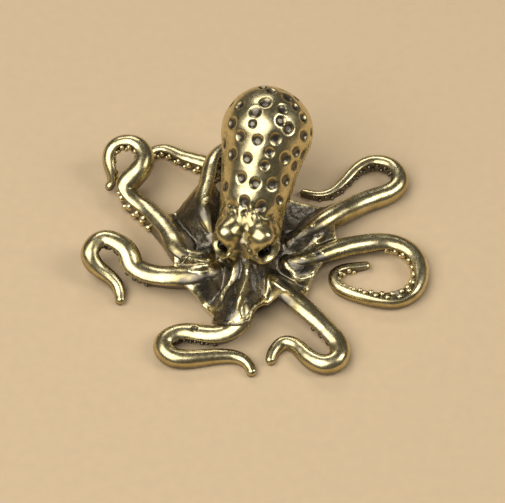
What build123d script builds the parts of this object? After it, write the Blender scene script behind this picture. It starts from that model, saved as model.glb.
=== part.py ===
"""An octopus figurine in cast brass, sitting on its own spread arms.

The frame has +Z up. The figurine stands on z = 0, faces -Y, and its origin is at the middle
of its outline on the surface that it stands on. All lengths are in millimetres.
"""

import math
import os
from dataclasses import dataclass

from build123d import *

# Overall sizes
figurine_length = 36.0  # across the arms, along X
figurine_height = 15.0  # from the surface to the top of the bulb
outline_shift = -0.9  # brings the middle of the outline, front to back, to the origin
foot_depth = 0.12  # how much the resting arms are filed flat underneath
cut_overrun = 4.0  # how far a cutting body passes what it cuts

# Mantle and head
bulb_width = 9.5
neck_bend_radius = 38.0  # hollow curve from the head to the bulb
head_width = 6.8
head_height = 4.2  # centre of the head above the surface
head_offset = -0.9  # centre of the head from the middle, along X
head_setback = 0.4  # centre of the head from the middle, along Y
bulb_setback = 9.3  # centre of the bulb behind the centre of the head
bulb_lean = 0.6  # centre of the bulb to the right of the centre of the head
head_bands = 7  # turned bands round the head
bulb_bands = 7  # and round the bulb

# Brows and eyes
brow_diameter = 2.9
brow_spacing = 4.1  # between the centres of the two brows
brow_forward = 1.25  # brows in front of the centre of the head
brow_rise = 1.4
eye_spacing = 4.9  # between the centres of the two eyes
eye_forward = 1.9  # eyes in front of the centre of the head
eye_rise = 0.55
eye_look_aside = 0.7  # which way an eye looks: this far sideways, forwards and upwards
eye_look_ahead = 0.7
eye_look_up = 0.1
eye_diameter = 1.3
eye_bulge = 0.3  # how far the middle of an eye stands out of its edge
eye_depth = 0.5  # how deep an eye is let into the head
eye_clearance = 0.03

# Web between the arms
web_width = 23.0  # across the ring from which the web is cut
web_crown_height = 2.6  # flat top of the web, on which the head sits
web_hollow_height = 1.8
web_rim_height = 0.95  # top of the web at its widest
web_lip_height = 0.15  # underside of the web at its widest
web_setback = 0.8  # middle of the web along Y

# Arms
arm_thickness = 2.3
arm_tip_thickness = 0.9
arm_facets = 5  # flats round the back of an arm

# Suckers
sucker_diameter = 0.66
sucker_height = 0.32
sucker_pitch = 0.9
sucker_sides = 6
sucker_clearance = 0.05

SPREAD_SHARE = 0.507  # half of the span that the arm routes are drawn in, against the length
ROOT_GIRTH_SHARE = 0.4  # thickness where an arm leaves the head, against its thickest
SWELL_SHARE = 0.2  # share of the length over which an arm swells to its full thickness
SECTION_PITCH_SHARE = 0.9  # from one section of an arm to the next, against its radius there
SUCKER_FACE_SHARE = 0.35  # sucker face from the middle of an arm, against its radius
SUCKER_ROW_SHARE = 0.4  # each row of suckers from the middle of that face
SUCKER_START_SHARE = 0.34  # where the suckers begin, along the arm
SUCKER_END_SHARE = 0.95

arm_spread = SPREAD_SHARE * figurine_length


@dataclass(frozen=True)
class ArmRoute:
    """How one arm runs, from the head to its tip.

    Places are shares of the arm spread along X and Y. The third number is how high the arm is
    lifted off the surface, as a share of the figurine's height.
    """

    name: str
    curl: int  # 1 has its suckers to the left of the way it runs, -1 to the right
    girth_share: float
    roll: float  # degrees that the sucker face is turned upwards
    places_share: tuple


arm_routes_share = (
    ArmRoute(
        "arm_front_left", 1, 1.0, 0.0,
        ((-0.04, -0.2, 0.13), (-0.04, -0.29, 0.13), (-0.02, -0.39, 0.11), (0.0, -0.48, 0.06),
         (-0.05, -0.54, 0.02), (-0.15, -0.57, 0.0), (-0.26, -0.57, 0.0), (-0.36, -0.59, 0.0),
         (-0.41, -0.66, 0.0), (-0.37, -0.72, 0.0), (-0.28, -0.73, 0.0), (-0.17, -0.7, 0.0),
         (-0.06, -0.67, 0.0), (0.02, -0.67, 0.0), (0.08, -0.71, 0.0), (0.11, -0.77, 0.0)),
    ),
    ArmRoute(
        "arm_front_right", -1, 1.0, 0.0,
        ((0.1, -0.16, 0.13), (0.15, -0.21, 0.12), (0.21, -0.26, 0.08), (0.3, -0.31, 0.03),
         (0.41, -0.38, 0.0), (0.5, -0.46, 0.0), (0.56, -0.54, 0.0), (0.55, -0.62, 0.0),
         (0.49, -0.65, 0.0), (0.42, -0.63, 0.0), (0.36, -0.58, 0.0), (0.31, -0.54, 0.0),
         (0.25, -0.53, 0.0), (0.21, -0.57, 0.0), (0.19, -0.63, 0.0), (0.19, -0.68, 0.0)),
    ),
    ArmRoute(
        "arm_side_right", -1, 0.86, 20.0,
        ((0.2, -0.03, 0.13), (0.29, -0.02, 0.12), (0.39, 0.05, 0.08), (0.5, 0.14, 0.04),
         (0.63, 0.21, 0.01), (0.76, 0.24, 0.0), (0.87, 0.2, 0.0), (0.93, 0.11, 0.0),
         (0.94, 0.01, 0.0), (0.91, -0.08, 0.0), (0.83, -0.14, 0.0), (0.73, -0.15, 0.0),
         (0.64, -0.14, 0.0), (0.55, -0.12, 0.0), (0.49, -0.08, 0.0), (0.47, -0.02, 0.01),
         (0.51, 0.03, 0.01), (0.58, 0.06, 0.01), (0.66, 0.09, 0.01)),
    ),
    ArmRoute(
        "arm_rear_right", 1, 0.95, 0.0,
        ((0.19, 0.11, 0.13), (0.27, 0.18, 0.12), (0.35, 0.27, 0.1), (0.43, 0.37, 0.07),
         (0.51, 0.46, 0.04), (0.61, 0.55, 0.02), (0.7, 0.62, 0.01), (0.75, 0.69, 0.02),
         (0.73, 0.77, 0.03), (0.67, 0.82, 0.03), (0.59, 0.83, 0.03), (0.52, 0.79, 0.03),
         (0.46, 0.71, 0.02), (0.41, 0.63, 0.01), (0.34, 0.57, 0.0), (0.25, 0.56, 0.0),
         (0.18, 0.58, 0.0)),
    ),
    ArmRoute(
        "arm_rear_left", -1, 0.95, 0.0,
        ((-0.27, 0.1, 0.13), (-0.31, 0.18, 0.13), (-0.34, 0.27, 0.13), (-0.34, 0.37, 0.14),
         (-0.34, 0.48, 0.15), (-0.34, 0.59, 0.16), (-0.31, 0.69, 0.15), (-0.25, 0.75, 0.13),
         (-0.18, 0.75, 0.1), (-0.14, 0.69, 0.07)),
    ),
    ArmRoute(
        "arm_rear_middle", 1, 1.0, 0.0,
        ((-0.02, 0.35, 0.1), (-0.02, 0.43, 0.06), (-0.08, 0.51, 0.02), (-0.19, 0.58, 0.0),
         (-0.32, 0.63, 0.0), (-0.45, 0.67, 0.0), (-0.57, 0.71, 0.0), (-0.67, 0.75, 0.0),
         (-0.74, 0.73, 0.0), (-0.76, 0.65, 0.0)),
    ),
    ArmRoute(
        "arm_corner_left", 1, 0.95, 0.0,
        ((-0.26, -0.06, 0.13), (-0.33, -0.1, 0.1), (-0.4, -0.09, 0.07), (-0.46, -0.03, 0.05),
         (-0.51, 0.05, 0.03), (-0.6, 0.16, 0.01), (-0.7, 0.25, 0.0), (-0.79, 0.31, 0.02),
         (-0.83, 0.37, 0.06), (-0.79, 0.43, 0.12), (-0.75, 0.49, 0.16), (-0.76, 0.57, 0.19),
         (-0.82, 0.62, 0.21), (-0.89, 0.62, 0.21), (-0.94, 0.58, 0.2), (-0.95, 0.52, 0.16),
         (-0.93, 0.47, 0.12), (-0.92, 0.43, 0.07), (-0.95, 0.39, 0.04)),
    ),
    ArmRoute(
        "arm_side_left", 1, 1.0, 0.0,
        ((-0.18, -0.16, 0.13), (-0.24, -0.21, 0.11), (-0.31, -0.23, 0.07), (-0.4, -0.23, 0.03),
         (-0.51, -0.23, 0.01), (-0.61, -0.22, 0.02), (-0.68, -0.19, 0.05), (-0.72, -0.13, 0.1),
         (-0.79, -0.09, 0.13), (-0.86, -0.08, 0.14), (-0.91, -0.12, 0.14), (-0.92, -0.18, 0.12),
         (-0.88, -0.22, 0.08), (-0.81, -0.25, 0.05), (-0.75, -0.29, 0.02), (-0.72, -0.35, 0.0),
         (-0.71, -0.4, 0.0)),
    ),
)

# Rings of the web, from its widest to its crown: how wide, then how high between the two
web_top_share = ((0.72, 0.25), (0.55, 0.65), (0.42, 1.0))
web_hollow_share = ((0.42, 0.85), (0.64, 0.5), (0.96, 0.0))

# Outline of the web: where each arm leaves it, and how far in the scallop after that arm reaches
web_outline_share = (
    ((0.0, -0.47), (0.15, -0.31)),
    ((0.34, -0.33), (0.34, -0.12)),
    ((0.5, 0.14), (0.41, 0.31)),
    ((0.52, 0.47), (0.31, 0.45)),
    ((0.0, 0.52), (-0.2, 0.38)),
    ((-0.34, 0.45), (-0.53, 0.27)),
    ((-0.66, 0.21), (-0.45, -0.1)),
    ((-0.5, -0.23), (-0.2, -0.39)),
)

head_centre = Vector(head_offset, head_setback + outline_shift, head_height)
bulb_centre = Vector(
    head_offset + bulb_lean, head_centre.Y + bulb_setback, figurine_height - bulb_width / 2
)
mantle_axis = (bulb_centre - head_centre).normalized()
mantle_run = (bulb_centre - head_centre).length
brow_centres = [
    head_centre + Vector(side * brow_spacing / 2, -brow_forward, brow_rise) for side in (-1, 1)
]
eye_centres = [
    head_centre + Vector(side * eye_spacing / 2, -eye_forward, eye_rise) for side in (-1, 1)
]
eye_ways = [
    Vector(side * eye_look_aside, -eye_look_ahead, eye_look_up).normalized() for side in (-1, 1)
]
eye_planes = [
    Plane(centre, x_dir=way.cross(Vector(0, 0, 1)), z_dir=way)
    for centre, way in zip(eye_centres, eye_ways)
]


def arc_points(centre: Vector, radius: float, first: float, last: float, bands: int) -> list:
    """Points on an arc of the mantle's outline, from one angle to another, one for each band."""
    angles = [first + (last - first) * index / bands for index in range(bands + 1)]
    return [centre + Vector(radius, 0).rotate(Axis.Z, angle) for angle in angles]


def mantle() -> Part:
    """The bulb, neck and head about one leaning axis, with brows, eye sockets and a flat seat.

    The head and the bulb are balls. The hollow curve of the neck touches both, so its centre is
    its own radius away from each of them.
    """
    head_radius, bulb_radius = head_width / 2, bulb_width / 2
    from_head = head_radius + neck_bend_radius
    from_bulb = bulb_radius + neck_bend_radius
    along = (mantle_run**2 + from_head**2 - from_bulb**2) / (2 * mantle_run)
    bend = Vector(along, math.sqrt(from_head**2 - along**2))
    bulb = Vector(mantle_run, 0)
    head_touch = bend * (head_radius / from_head)
    bulb_touch = bulb + (bend - bulb) * (bulb_radius / from_bulb)
    waist = bend + ((head_touch + bulb_touch) / 2 - bend).normalized() * neck_bend_radius
    head_angle = math.degrees(math.atan2(head_touch.Y, head_touch.X))
    bulb_angle = math.degrees(math.atan2(bulb_touch.Y, bulb_touch.X - mantle_run))
    head_outline = arc_points(Vector(0, 0), head_radius, 180, head_angle, head_bands)
    bulb_outline = arc_points(bulb, bulb_radius, bulb_angle, 0, bulb_bands)
    profile_plane = Plane(head_centre, x_dir=mantle_axis, z_dir=mantle_axis.cross(Vector(0, 0, 1)))
    with BuildPart() as body:
        with BuildSketch(profile_plane):
            with BuildLine():
                Polyline(*head_outline, waist, *bulb_outline, close=True)
            make_face()
        revolve(axis=Axis(head_centre, mantle_axis))
        with Locations(*brow_centres):
            Sphere(brow_diameter / 2)
        for plane in eye_planes:
            with BuildSketch(plane.offset(-eye_depth)):
                Circle(eye_diameter / 2 + eye_clearance)
            extrude(amount=eye_depth + cut_overrun, mode=Mode.SUBTRACT)
        split(bisect_by=Plane.XY.offset(web_crown_height), keep=Keep.TOP)
    return body.part


def eye(plane: Plane) -> Part:
    """One eye: a round bead with a domed front, let into its socket."""
    edge = eye_diameter / 2
    dome_radius = (edge**2 + eye_bulge**2) / (2 * eye_bulge)
    with BuildPart() as bead:
        with BuildSketch(Plane(plane.origin, x_dir=plane.x_dir, z_dir=-plane.y_dir)):
            with BuildLine():
                Polyline((0, eye_bulge), (0, -eye_depth), (edge, -eye_depth), (edge, 0))
                RadiusArc((edge, 0), (0, eye_bulge), -dome_radius)
            make_face()
        revolve(axis=Axis(plane.origin, plane.z_dir))
    return bead.part


def arm_radius(route: ArmRoute, along: float) -> float:
    """Radius of an arm at a share of its length: it swells out of the head, then tapers."""
    full = route.girth_share * arm_thickness / 2
    tip = arm_tip_thickness / 2
    tapered = tip + (full - tip) * (1 - along**2)
    swell = math.sin(math.pi / 2 * min(1.0, along / SWELL_SHARE))
    return tapered * (ROOT_GIRTH_SHARE + (1 - ROOT_GIRTH_SHARE) * swell)


def arm_line(route: ArmRoute) -> Edge:
    """The middle line of an arm, which rests on the surface where it isn't lifted."""
    last = len(route.places_share) - 1
    points = []
    for index, (x, y, lift) in enumerate(route.places_share):
        rest = max(arm_radius(route, index / last) - foot_depth, 0)
        aside, back = x * arm_spread, y * arm_spread + outline_shift
        points.append(Vector(aside, back, lift * figurine_height + rest))
    return Spline(points)


def arm_stations(route: ArmRoute, line: Edge) -> list:
    """Where the sections of an arm lie along it, as shares: closer together where it is thin."""
    stations = [0.0]
    while stations[-1] < 1:
        step = SECTION_PITCH_SHARE * arm_radius(route, max(stations[-1], SWELL_SHARE / 4))
        stations.append(stations[-1] + step / line.length)
    return [station / stations[-1] for station in stations]


def arm_section_plane(route: ArmRoute, line: Edge, along: float) -> Plane:
    """The plane across an arm, with its X towards the suckers."""
    way = line % along
    level = Vector(0, 0, route.curl).cross(way).normalized()
    upward = Vector(0, 0, 1) - way * way.Z
    roll = math.radians(route.roll)
    return Plane(
        line @ along,
        x_dir=level * math.cos(roll) + upward.normalized() * math.sin(roll),
        z_dir=way,
    )


def arm_section(radius: float) -> list:
    """Corners of an arm's section: a flat face towards +X, and facets round the back."""
    corner = math.acos(SUCKER_FACE_SHARE)
    step = 2 * (math.pi - corner) / arm_facets
    angles = [corner + index * step for index in range(arm_facets + 1)]
    return [(radius * math.cos(angle), radius * math.sin(angle)) for angle in angles]


def arm(route: ArmRoute) -> Part:
    """One arm: round outside, flat where its suckers sit, and filed flat where it rests."""
    line = arm_line(route)
    with BuildPart() as limb:
        for along in arm_stations(route, line):
            with BuildSketch(arm_section_plane(route, line, along)):
                Polygon(arm_section(arm_radius(route, along)), align=None)
        loft(ruled=True)
        split(bisect_by=Plane.XY, keep=Keep.TOP)
    return limb.part


def suckers(route: ArmRoute) -> Part:
    """The sucker beads of one arm, in two rows that alternate along its flat face."""
    line = arm_line(route)
    first = SUCKER_START_SHARE * line.length
    count = math.floor((SUCKER_END_SHARE * line.length - first) / sucker_pitch)
    with BuildPart() as beads:
        for index in range(count + 1):
            along = (first + index * sucker_pitch) / line.length
            radius = arm_radius(route, along)
            taper_share = 2 * radius / arm_thickness
            section = arm_section_plane(route, line, along)
            side = 1 if index % 2 else -1
            seat = section.from_local_coords(
                Vector(
                    SUCKER_FACE_SHARE * radius + sucker_clearance,
                    side * SUCKER_ROW_SHARE * radius,
                    0,
                )
            )
            foot_plane = Plane(seat, x_dir=section.z_dir, z_dir=section.x_dir)
            foot = taper_share * sucker_diameter / 2
            with BuildSketch(foot_plane):
                RegularPolygon(foot, sucker_sides)
            extrude(amount=taper_share * sucker_height)
    return beads.part


def web(limbs: list) -> Part:
    """The arched web: hollow beneath, scalloped between the arms, and cut to the arms."""
    outline = [
        (x * arm_spread, y * arm_spread + outline_shift)
        for pair in web_outline_share
        for x, y in pair
    ]
    corners, scallops = outline[::2], outline[1::2]
    edge, rise, arch = (
        web_width / 2, web_crown_height - web_rim_height, web_hollow_height - web_lip_height
    )
    top = [(wide * edge, web_rim_height + high * rise) for wide, high in web_top_share]
    hollow = [(wide * edge, web_lip_height + high * arch) for wide, high in web_hollow_share]
    centre = (head_offset, web_setback + outline_shift, 0)
    middle = Plane(centre, x_dir=(1, 0, 0), z_dir=(0, -1, 0))
    with BuildPart() as skirt:
        with BuildSketch(middle):
            with BuildLine():
                Polyline(
                    (0, web_hollow_height), *hollow, (edge, web_lip_height),
                    (edge, web_rim_height), *top, (0, web_crown_height), close=True,
                )
            make_face()
        revolve(axis=Axis(centre, (0, 0, 1)))
        with BuildSketch():
            with BuildLine():
                for corner, scallop, following in zip(corners, scallops, corners[1:] + corners[:1]):
                    ThreePointArc(corner, scallop, following)
            make_face()
        extrude(amount=web_crown_height + cut_overrun, mode=Mode.INTERSECT)
        for limb in limbs:
            add(limb, mode=Mode.SUBTRACT)
    return skirt.part


def save(piece: Part, label: str) -> None:
    """Labels one finished piece and writes its file."""
    piece.label = label
    export_step(piece, f"parts/{label}.step")
    box = piece.bounding_box()
    print(label, len(piece.solids()), "solids", round(piece.volume, 2), box.min, box.max)


os.makedirs("parts", exist_ok=True)
save(mantle(), "mantle")
for label, plane in zip(("eye_left", "eye_right"), eye_planes):
    save(eye(plane), label)
limbs = []
for route in arm_routes_share:
    limb = arm(route)
    save(limb, route.name)
    save(suckers(route), route.name.replace("arm_", "suckers_"))
    limbs.append(limb)
save(web(limbs), "web_skirt")
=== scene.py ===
"""Dresses the cast octopus figurine: its modelled surfaces, its antiqued brass, and the studio.

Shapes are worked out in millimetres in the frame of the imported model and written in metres.
Each one is a function of two parameters on a grid, computed with numpy as whole arrays.
"""

import logging
import math
from dataclasses import dataclass, field
from enum import Enum

import bpy
import numpy as np
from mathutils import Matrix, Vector


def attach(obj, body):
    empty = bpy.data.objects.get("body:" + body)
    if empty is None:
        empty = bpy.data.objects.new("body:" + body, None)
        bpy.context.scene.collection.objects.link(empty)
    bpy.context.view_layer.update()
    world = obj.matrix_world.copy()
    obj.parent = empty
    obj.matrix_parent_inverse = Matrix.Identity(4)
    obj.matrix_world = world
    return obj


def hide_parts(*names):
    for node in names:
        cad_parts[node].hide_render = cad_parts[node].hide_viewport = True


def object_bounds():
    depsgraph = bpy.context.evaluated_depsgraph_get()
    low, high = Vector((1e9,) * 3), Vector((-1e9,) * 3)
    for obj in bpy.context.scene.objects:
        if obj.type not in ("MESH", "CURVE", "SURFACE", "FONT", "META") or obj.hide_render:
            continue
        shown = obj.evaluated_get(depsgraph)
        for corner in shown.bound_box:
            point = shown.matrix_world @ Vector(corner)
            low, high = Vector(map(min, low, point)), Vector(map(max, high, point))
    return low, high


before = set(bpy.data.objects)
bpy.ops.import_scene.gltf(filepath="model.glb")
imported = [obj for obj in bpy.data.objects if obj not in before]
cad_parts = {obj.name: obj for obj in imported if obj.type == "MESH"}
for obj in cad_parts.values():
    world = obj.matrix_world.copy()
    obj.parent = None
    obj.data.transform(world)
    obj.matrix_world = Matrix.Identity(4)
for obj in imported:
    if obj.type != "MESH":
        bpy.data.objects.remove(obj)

logging.basicConfig(level=logging.INFO, format="%(message)s")
LOG = logging.getLogger("octopus")

MILLIMETRE = 0.001
CAD_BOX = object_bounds()
LOW = np.array(CAD_BOX[0], float) / MILLIMETRE
HIGH = np.array(CAD_BOX[1], float) / MILLIMETRE
LENGTH = float(HIGH[0] - LOW[0])
HEIGHT = float(HIGH[2] - LOW[2])
BOX_MARGIN = 0.004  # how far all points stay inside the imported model's box, in mm
SPLINE_STEPS = 60  # points of a smooth line for each stretch between chosen places
RIPPLE_WAVES = 18  # sines in one ripple
RIPPLE_PITCHES = (0.7, 1.6)  # narrowest and widest bump of a ripple, against its size
RIPPLE_LEVEL = 0.6  # brings a ripple to about -1 to 1
LEAST_LENGTH = 1e-9  # keeps a normal without length from a division by zero
PIT_POWER = 4  # steepness of the sides of pores, dimples, sockets and pupils
SHADE_POWER = 6  # steepness of the edge of a pit's dark
UP = np.array([0.0, 0.0, 1.0])

Pair = tuple[float, float]
Triple = tuple[float, float, float]
Wave = tuple[float, float, int]


class Slot(Enum):
    """The record's material slots."""

    BODY = "brass_body"
    RECESS = "brass_recess"
    EYE = "brass_eye"


class Curl(Enum):
    """On which side of its own way an arm carries its suckers."""

    LEFT = 1
    RIGHT = -1


# Numbers and surfaces


def ease(low: float, high: float, value: np.ndarray) -> np.ndarray:
    """Rises from 0 at low to 1 at high, level at both ends: 3t^2 - 2t^3, with t from 0 to 1."""
    share = np.clip((np.asarray(value, float) - low) / (high - low), 0.0, 1.0)
    return share * share * (3.0 - 2.0 * share)


def bell(distance: np.ndarray, width: float) -> np.ndarray:
    """Falls from 1 at no distance: exp(-(distance / width)^2)."""
    return np.exp(-np.square(np.asarray(distance, float) / width))


def plateau(distance: np.ndarray, power: float) -> np.ndarray:
    """Falls from 1 past a distance of about 1, the steeper the power: exp(-distance^power)."""
    return np.exp(-(distance**power))


def unit(vectors: np.ndarray) -> np.ndarray:
    """Vectors divided by their own lengths, along the last axis."""
    return vectors / np.linalg.norm(vectors, axis=-1, keepdims=True)


def full_turn(count: int) -> np.ndarray:
    """Angles at equal steps round a full turn, from 0."""
    return np.linspace(0.0, 2.0 * math.pi, count, endpoint=False)


def soft_max(levels: np.ndarray, sharpness: float) -> np.ndarray:
    """The highest of several levels, its joins rounded: ln(sum of exp(k z)) / k, k the sharpness."""
    top = levels.max(axis=0)
    return top + np.log(np.exp(sharpness * (levels - top)).sum(axis=0)) / sharpness


def ripple(points: np.ndarray, size: float, seed: int) -> np.ndarray:
    """Uneven ground, about -1 to 1: a sum of sines whose waves run in many directions.

    Args:
        points: places in mm, with 3 numbers in the last axis.
        size: the typical width of a bump in mm.
        seed: which pattern.

    Returns:
        One number for each place.
    """
    maker = np.random.default_rng(seed)
    ways = unit(maker.normal(size=(RIPPLE_WAVES, 3)))
    pitch = size * maker.uniform(*RIPPLE_PITCHES, RIPPLE_WAVES)
    phase = maker.uniform(0.0, 2.0 * math.pi, RIPPLE_WAVES)
    total = np.zeros(points.shape[:-1])
    for way, length, start in zip(ways, pitch, phase):
        total += np.sin(points @ way * (math.pi / length) + start)
    return total * math.sqrt(2.0 / RIPPLE_WAVES) * RIPPLE_LEVEL


def ripples(points: np.ndarray, waves: tuple[Wave, ...]) -> np.ndarray:
    """A sum of ripples, whose waves give the height, width and pattern of each."""
    return sum(height * ripple(points, size, seed) for height, size, seed in waves)


def run_along(line: np.ndarray) -> np.ndarray:
    """The length of a line of points from its start to each point."""
    return np.concatenate([[0.0], np.cumsum(np.linalg.norm(np.diff(line, axis=0), axis=1))])


def along_line(line: np.ndarray, shares: np.ndarray, values: np.ndarray | None = None) -> np.ndarray:
    """Reads a line of points at shares of its own length, straight between its points.

    Args:
        line: the points, one row each.
        shares: shares of the line's length.
        values: what is read, with a row for each point. It is the points where it is left out.

    Returns:
        One row for each share.
    """
    run = run_along(line)
    read = line if values is None else values
    at = np.asarray(shares) * run[-1]
    return np.stack([np.interp(at, run, column) for column in read.T], axis=1)


def smooth_route(places: np.ndarray, count: int) -> np.ndarray:
    """Carries a smooth line through given places.

    The line is the cubic spline over the chord length between the places, with no bend at
    either end. Its bends solve one set of linear equations.

    Args:
        places: the places, one row each.
        count: how many points to give back, at equal steps along the line.

    Returns:
        An array of count rows.
    """
    chord = run_along(places)
    gaps = np.diff(chord)
    last = len(places) - 1
    inner = np.arange(1, last)
    system = np.eye(last + 1)
    system[inner, inner - 1] = gaps[:-1]
    system[inner, inner] = 2.0 * (gaps[:-1] + gaps[1:])
    system[inner, inner + 1] = gaps[1:]
    slopes = np.diff(places, axis=0) / gaps[:, None]
    right = np.zeros_like(places)
    right[1:-1] = 6.0 * np.diff(slopes, axis=0)
    bend = np.linalg.solve(system, right)
    at = np.linspace(0.0, chord[-1], SPLINE_STEPS * last)
    span = np.clip(np.searchsorted(chord, at, side="right") - 1, 0, last - 1)
    gap = gaps[span][:, None]
    before = (at - chord[span])[:, None]
    after = gap - before
    line = (
        (bend[span] * after**3 + bend[span + 1] * before**3) / (6.0 * gap)
        + (places[span] / gap - bend[span] * gap / 6.0) * after
        + (places[span + 1] / gap - bend[span + 1] * gap / 6.0) * before
    )
    return along_line(line, np.linspace(0.0, 1.0, count))


def nearest(points: np.ndarray, line: np.ndarray) -> tuple[np.ndarray, np.ndarray]:
    """The plan distance from each point to a line of points, and which point of it is nearest.

    Args:
        points: places, with x and y first in the last axis.
        line: the line's points, x and y first.

    Returns:
        The distances, and the index of the nearest point of the line for each place.
    """
    gap = points[..., None, :2] - line[:, :2]
    far = np.sqrt(np.sum(gap * gap, axis=-1))
    index = far.argmin(axis=-1)
    return np.take_along_axis(far, index[..., None], axis=-1)[..., 0], index


@dataclass(frozen=True)
class Shells:
    """Closed shells that share one pattern of rings.

    Attributes:
        rings: places of shape (shells, rings, points in a ring, 3), in mm.
        starts: the closing point before the first ring of each shell.
        ends: the closing point after the last ring of each shell.
        recess: how dark each ring point is, from -1 polished to 1 dark; it holds the patina of recesses, the
            painted shade of undersides and the painted highlights of crests.
    """

    rings: np.ndarray
    starts: np.ndarray
    ends: np.ndarray
    recess: np.ndarray

    @classmethod
    def single(cls, rings: np.ndarray, recess: np.ndarray) -> "Shells":
        """One shell, whose rings have no axis for shells, closed at the middles of its end rings."""
        return cls(rings[None], rings[:1].mean(axis=1), rings[-1:].mean(axis=1), recess[None])

    def faces(self) -> list[list[int]]:
        """Quads between neighbouring rings and a fan at each end, facing outwards.

        The sign of the volume that the faces enclose tells whether they have to be turned.

        Returns:
            The corners of each face, by their order in places.
        """
        shells, rows, around, _ = self.rings.shape
        step = 2 + rows * around
        ring = 1 + np.arange(rows)[:, None] * around + np.arange(around)
        right = np.roll(ring, -1, axis=1)
        quads = np.stack([ring[:-1], right[:-1], right[1:], ring[1:]], -1).reshape(-1, 4)
        first = np.stack([np.zeros(around, int), right[0], ring[0]], -1)
        last = np.stack([np.full(around, step - 1), ring[-1], right[-1]], -1)
        places = self.places()[:step]
        corners = np.concatenate([quads[:, [0, 1, 2]], quads[:, [0, 2, 3]], first, last])
        a, b, c = (places[corners[:, k]] for k in range(3))
        if np.sum(a * np.cross(b, c)) < 0.0:
            quads, first, last = quads[:, ::-1], first[:, ::-1], last[:, ::-1]
        offset = (np.arange(shells) * step)[:, None, None]
        return (
            (quads + offset).reshape(-1, 4).tolist()
            + (first + offset).reshape(-1, 3).tolist()
            + (last + offset).reshape(-1, 3).tolist()
        )

    def places(self) -> np.ndarray:
        """All points, shell by shell: the first closing point, the rings, the last one."""
        body = self.rings.reshape(len(self.rings), -1, 3)
        return np.concatenate([self.starts[:, None], body, self.ends[:, None]], axis=1).reshape(-1, 3)

    def depths(self) -> np.ndarray:
        """The recess value of every point; a closing point has the mean of the ring beside it.

        Returns:
            One number for each point, in the order of places.
        """
        body = self.recess.reshape(len(self.recess), -1)
        start = self.recess[:, 0].mean(axis=1)[:, None]
        end = self.recess[:, -1].mean(axis=1)[:, None]
        return np.concatenate([start, body, end], axis=1).ravel()

    def inside(self) -> np.ndarray:
        """All points in metres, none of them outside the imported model's box."""
        return np.clip(self.places(), LOW + BOX_MARGIN, HIGH - BOX_MARGIN) * MILLIMETRE

    def make(
        self, name: str, nodes: tuple[str, ...], slot: Slot, look: bpy.types.Material
    ) -> bpy.types.Object:
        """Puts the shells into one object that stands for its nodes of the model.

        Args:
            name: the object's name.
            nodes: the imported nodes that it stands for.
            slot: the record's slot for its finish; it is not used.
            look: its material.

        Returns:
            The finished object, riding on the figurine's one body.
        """
        mesh = bpy.data.meshes.new(name)
        mesh.from_pydata(self.inside().tolist(), [], self.faces())
        mesh.polygons.foreach_set("use_smooth", np.ones(len(mesh.polygons), bool))
        mesh.attributes.new("recess", "FLOAT", "POINT").data.foreach_set(
            "value", self.depths().astype(np.float32)
        )
        mesh.update()
        mesh.materials.append(look)
        piece = bpy.data.objects.new(name, mesh)
        bpy.context.scene.collection.objects.link(piece)
        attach(piece, "root")
        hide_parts(*nodes)
        LOG.info("%s: %d faces, stands for %s", name, len(mesh.polygons), ", ".join(nodes))
        return piece


def ring_normals(rings: np.ndarray) -> np.ndarray:
    """Unit normals of a stack of rings: the cross product of its two directions, turned outwards.

    Args:
        rings: places of shape (rings, points in a ring, 3).

    Returns:
        Normals of the same shape.
    """
    along = np.gradient(rings, axis=0)
    around = np.roll(rings, -1, axis=1) - np.roll(rings, 1, axis=1)
    normal = np.cross(along, around)
    normal /= np.maximum(np.linalg.norm(normal, axis=2, keepdims=True), LEAST_LENGTH)
    middle = rings.mean(axis=1, keepdims=True)
    return -normal if np.sum(normal * (rings - middle)) < 0.0 else normal


# Arms and suckers


@dataclass(frozen=True)
class ArmRoute:
    """How one arm runs, from the head to its tip.

    Attributes:
        name: the arm's place on the figurine.
        curl: the side that its suckers are on.
        girth: its thickness against an arm of girth 1.
        rolls: degrees that its sucker face is turned upwards, at equal steps from root to tip.
        bead_wear: how far the tops of its suckers are worn bright, from 0 to 1.
        skirt: how broad the web lies over its root, against the arm itself.
        places: shares of the spread along x and y, and of the height for how far it is lifted.
        pores: where casting pores are on its skin, in mm.
    """

    name: str
    curl: Curl
    girth: float
    rolls: tuple[float, ...]
    bead_wear: float
    skirt: float
    places: tuple[Triple, ...]
    pores: tuple[Triple, ...] = ()


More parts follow.
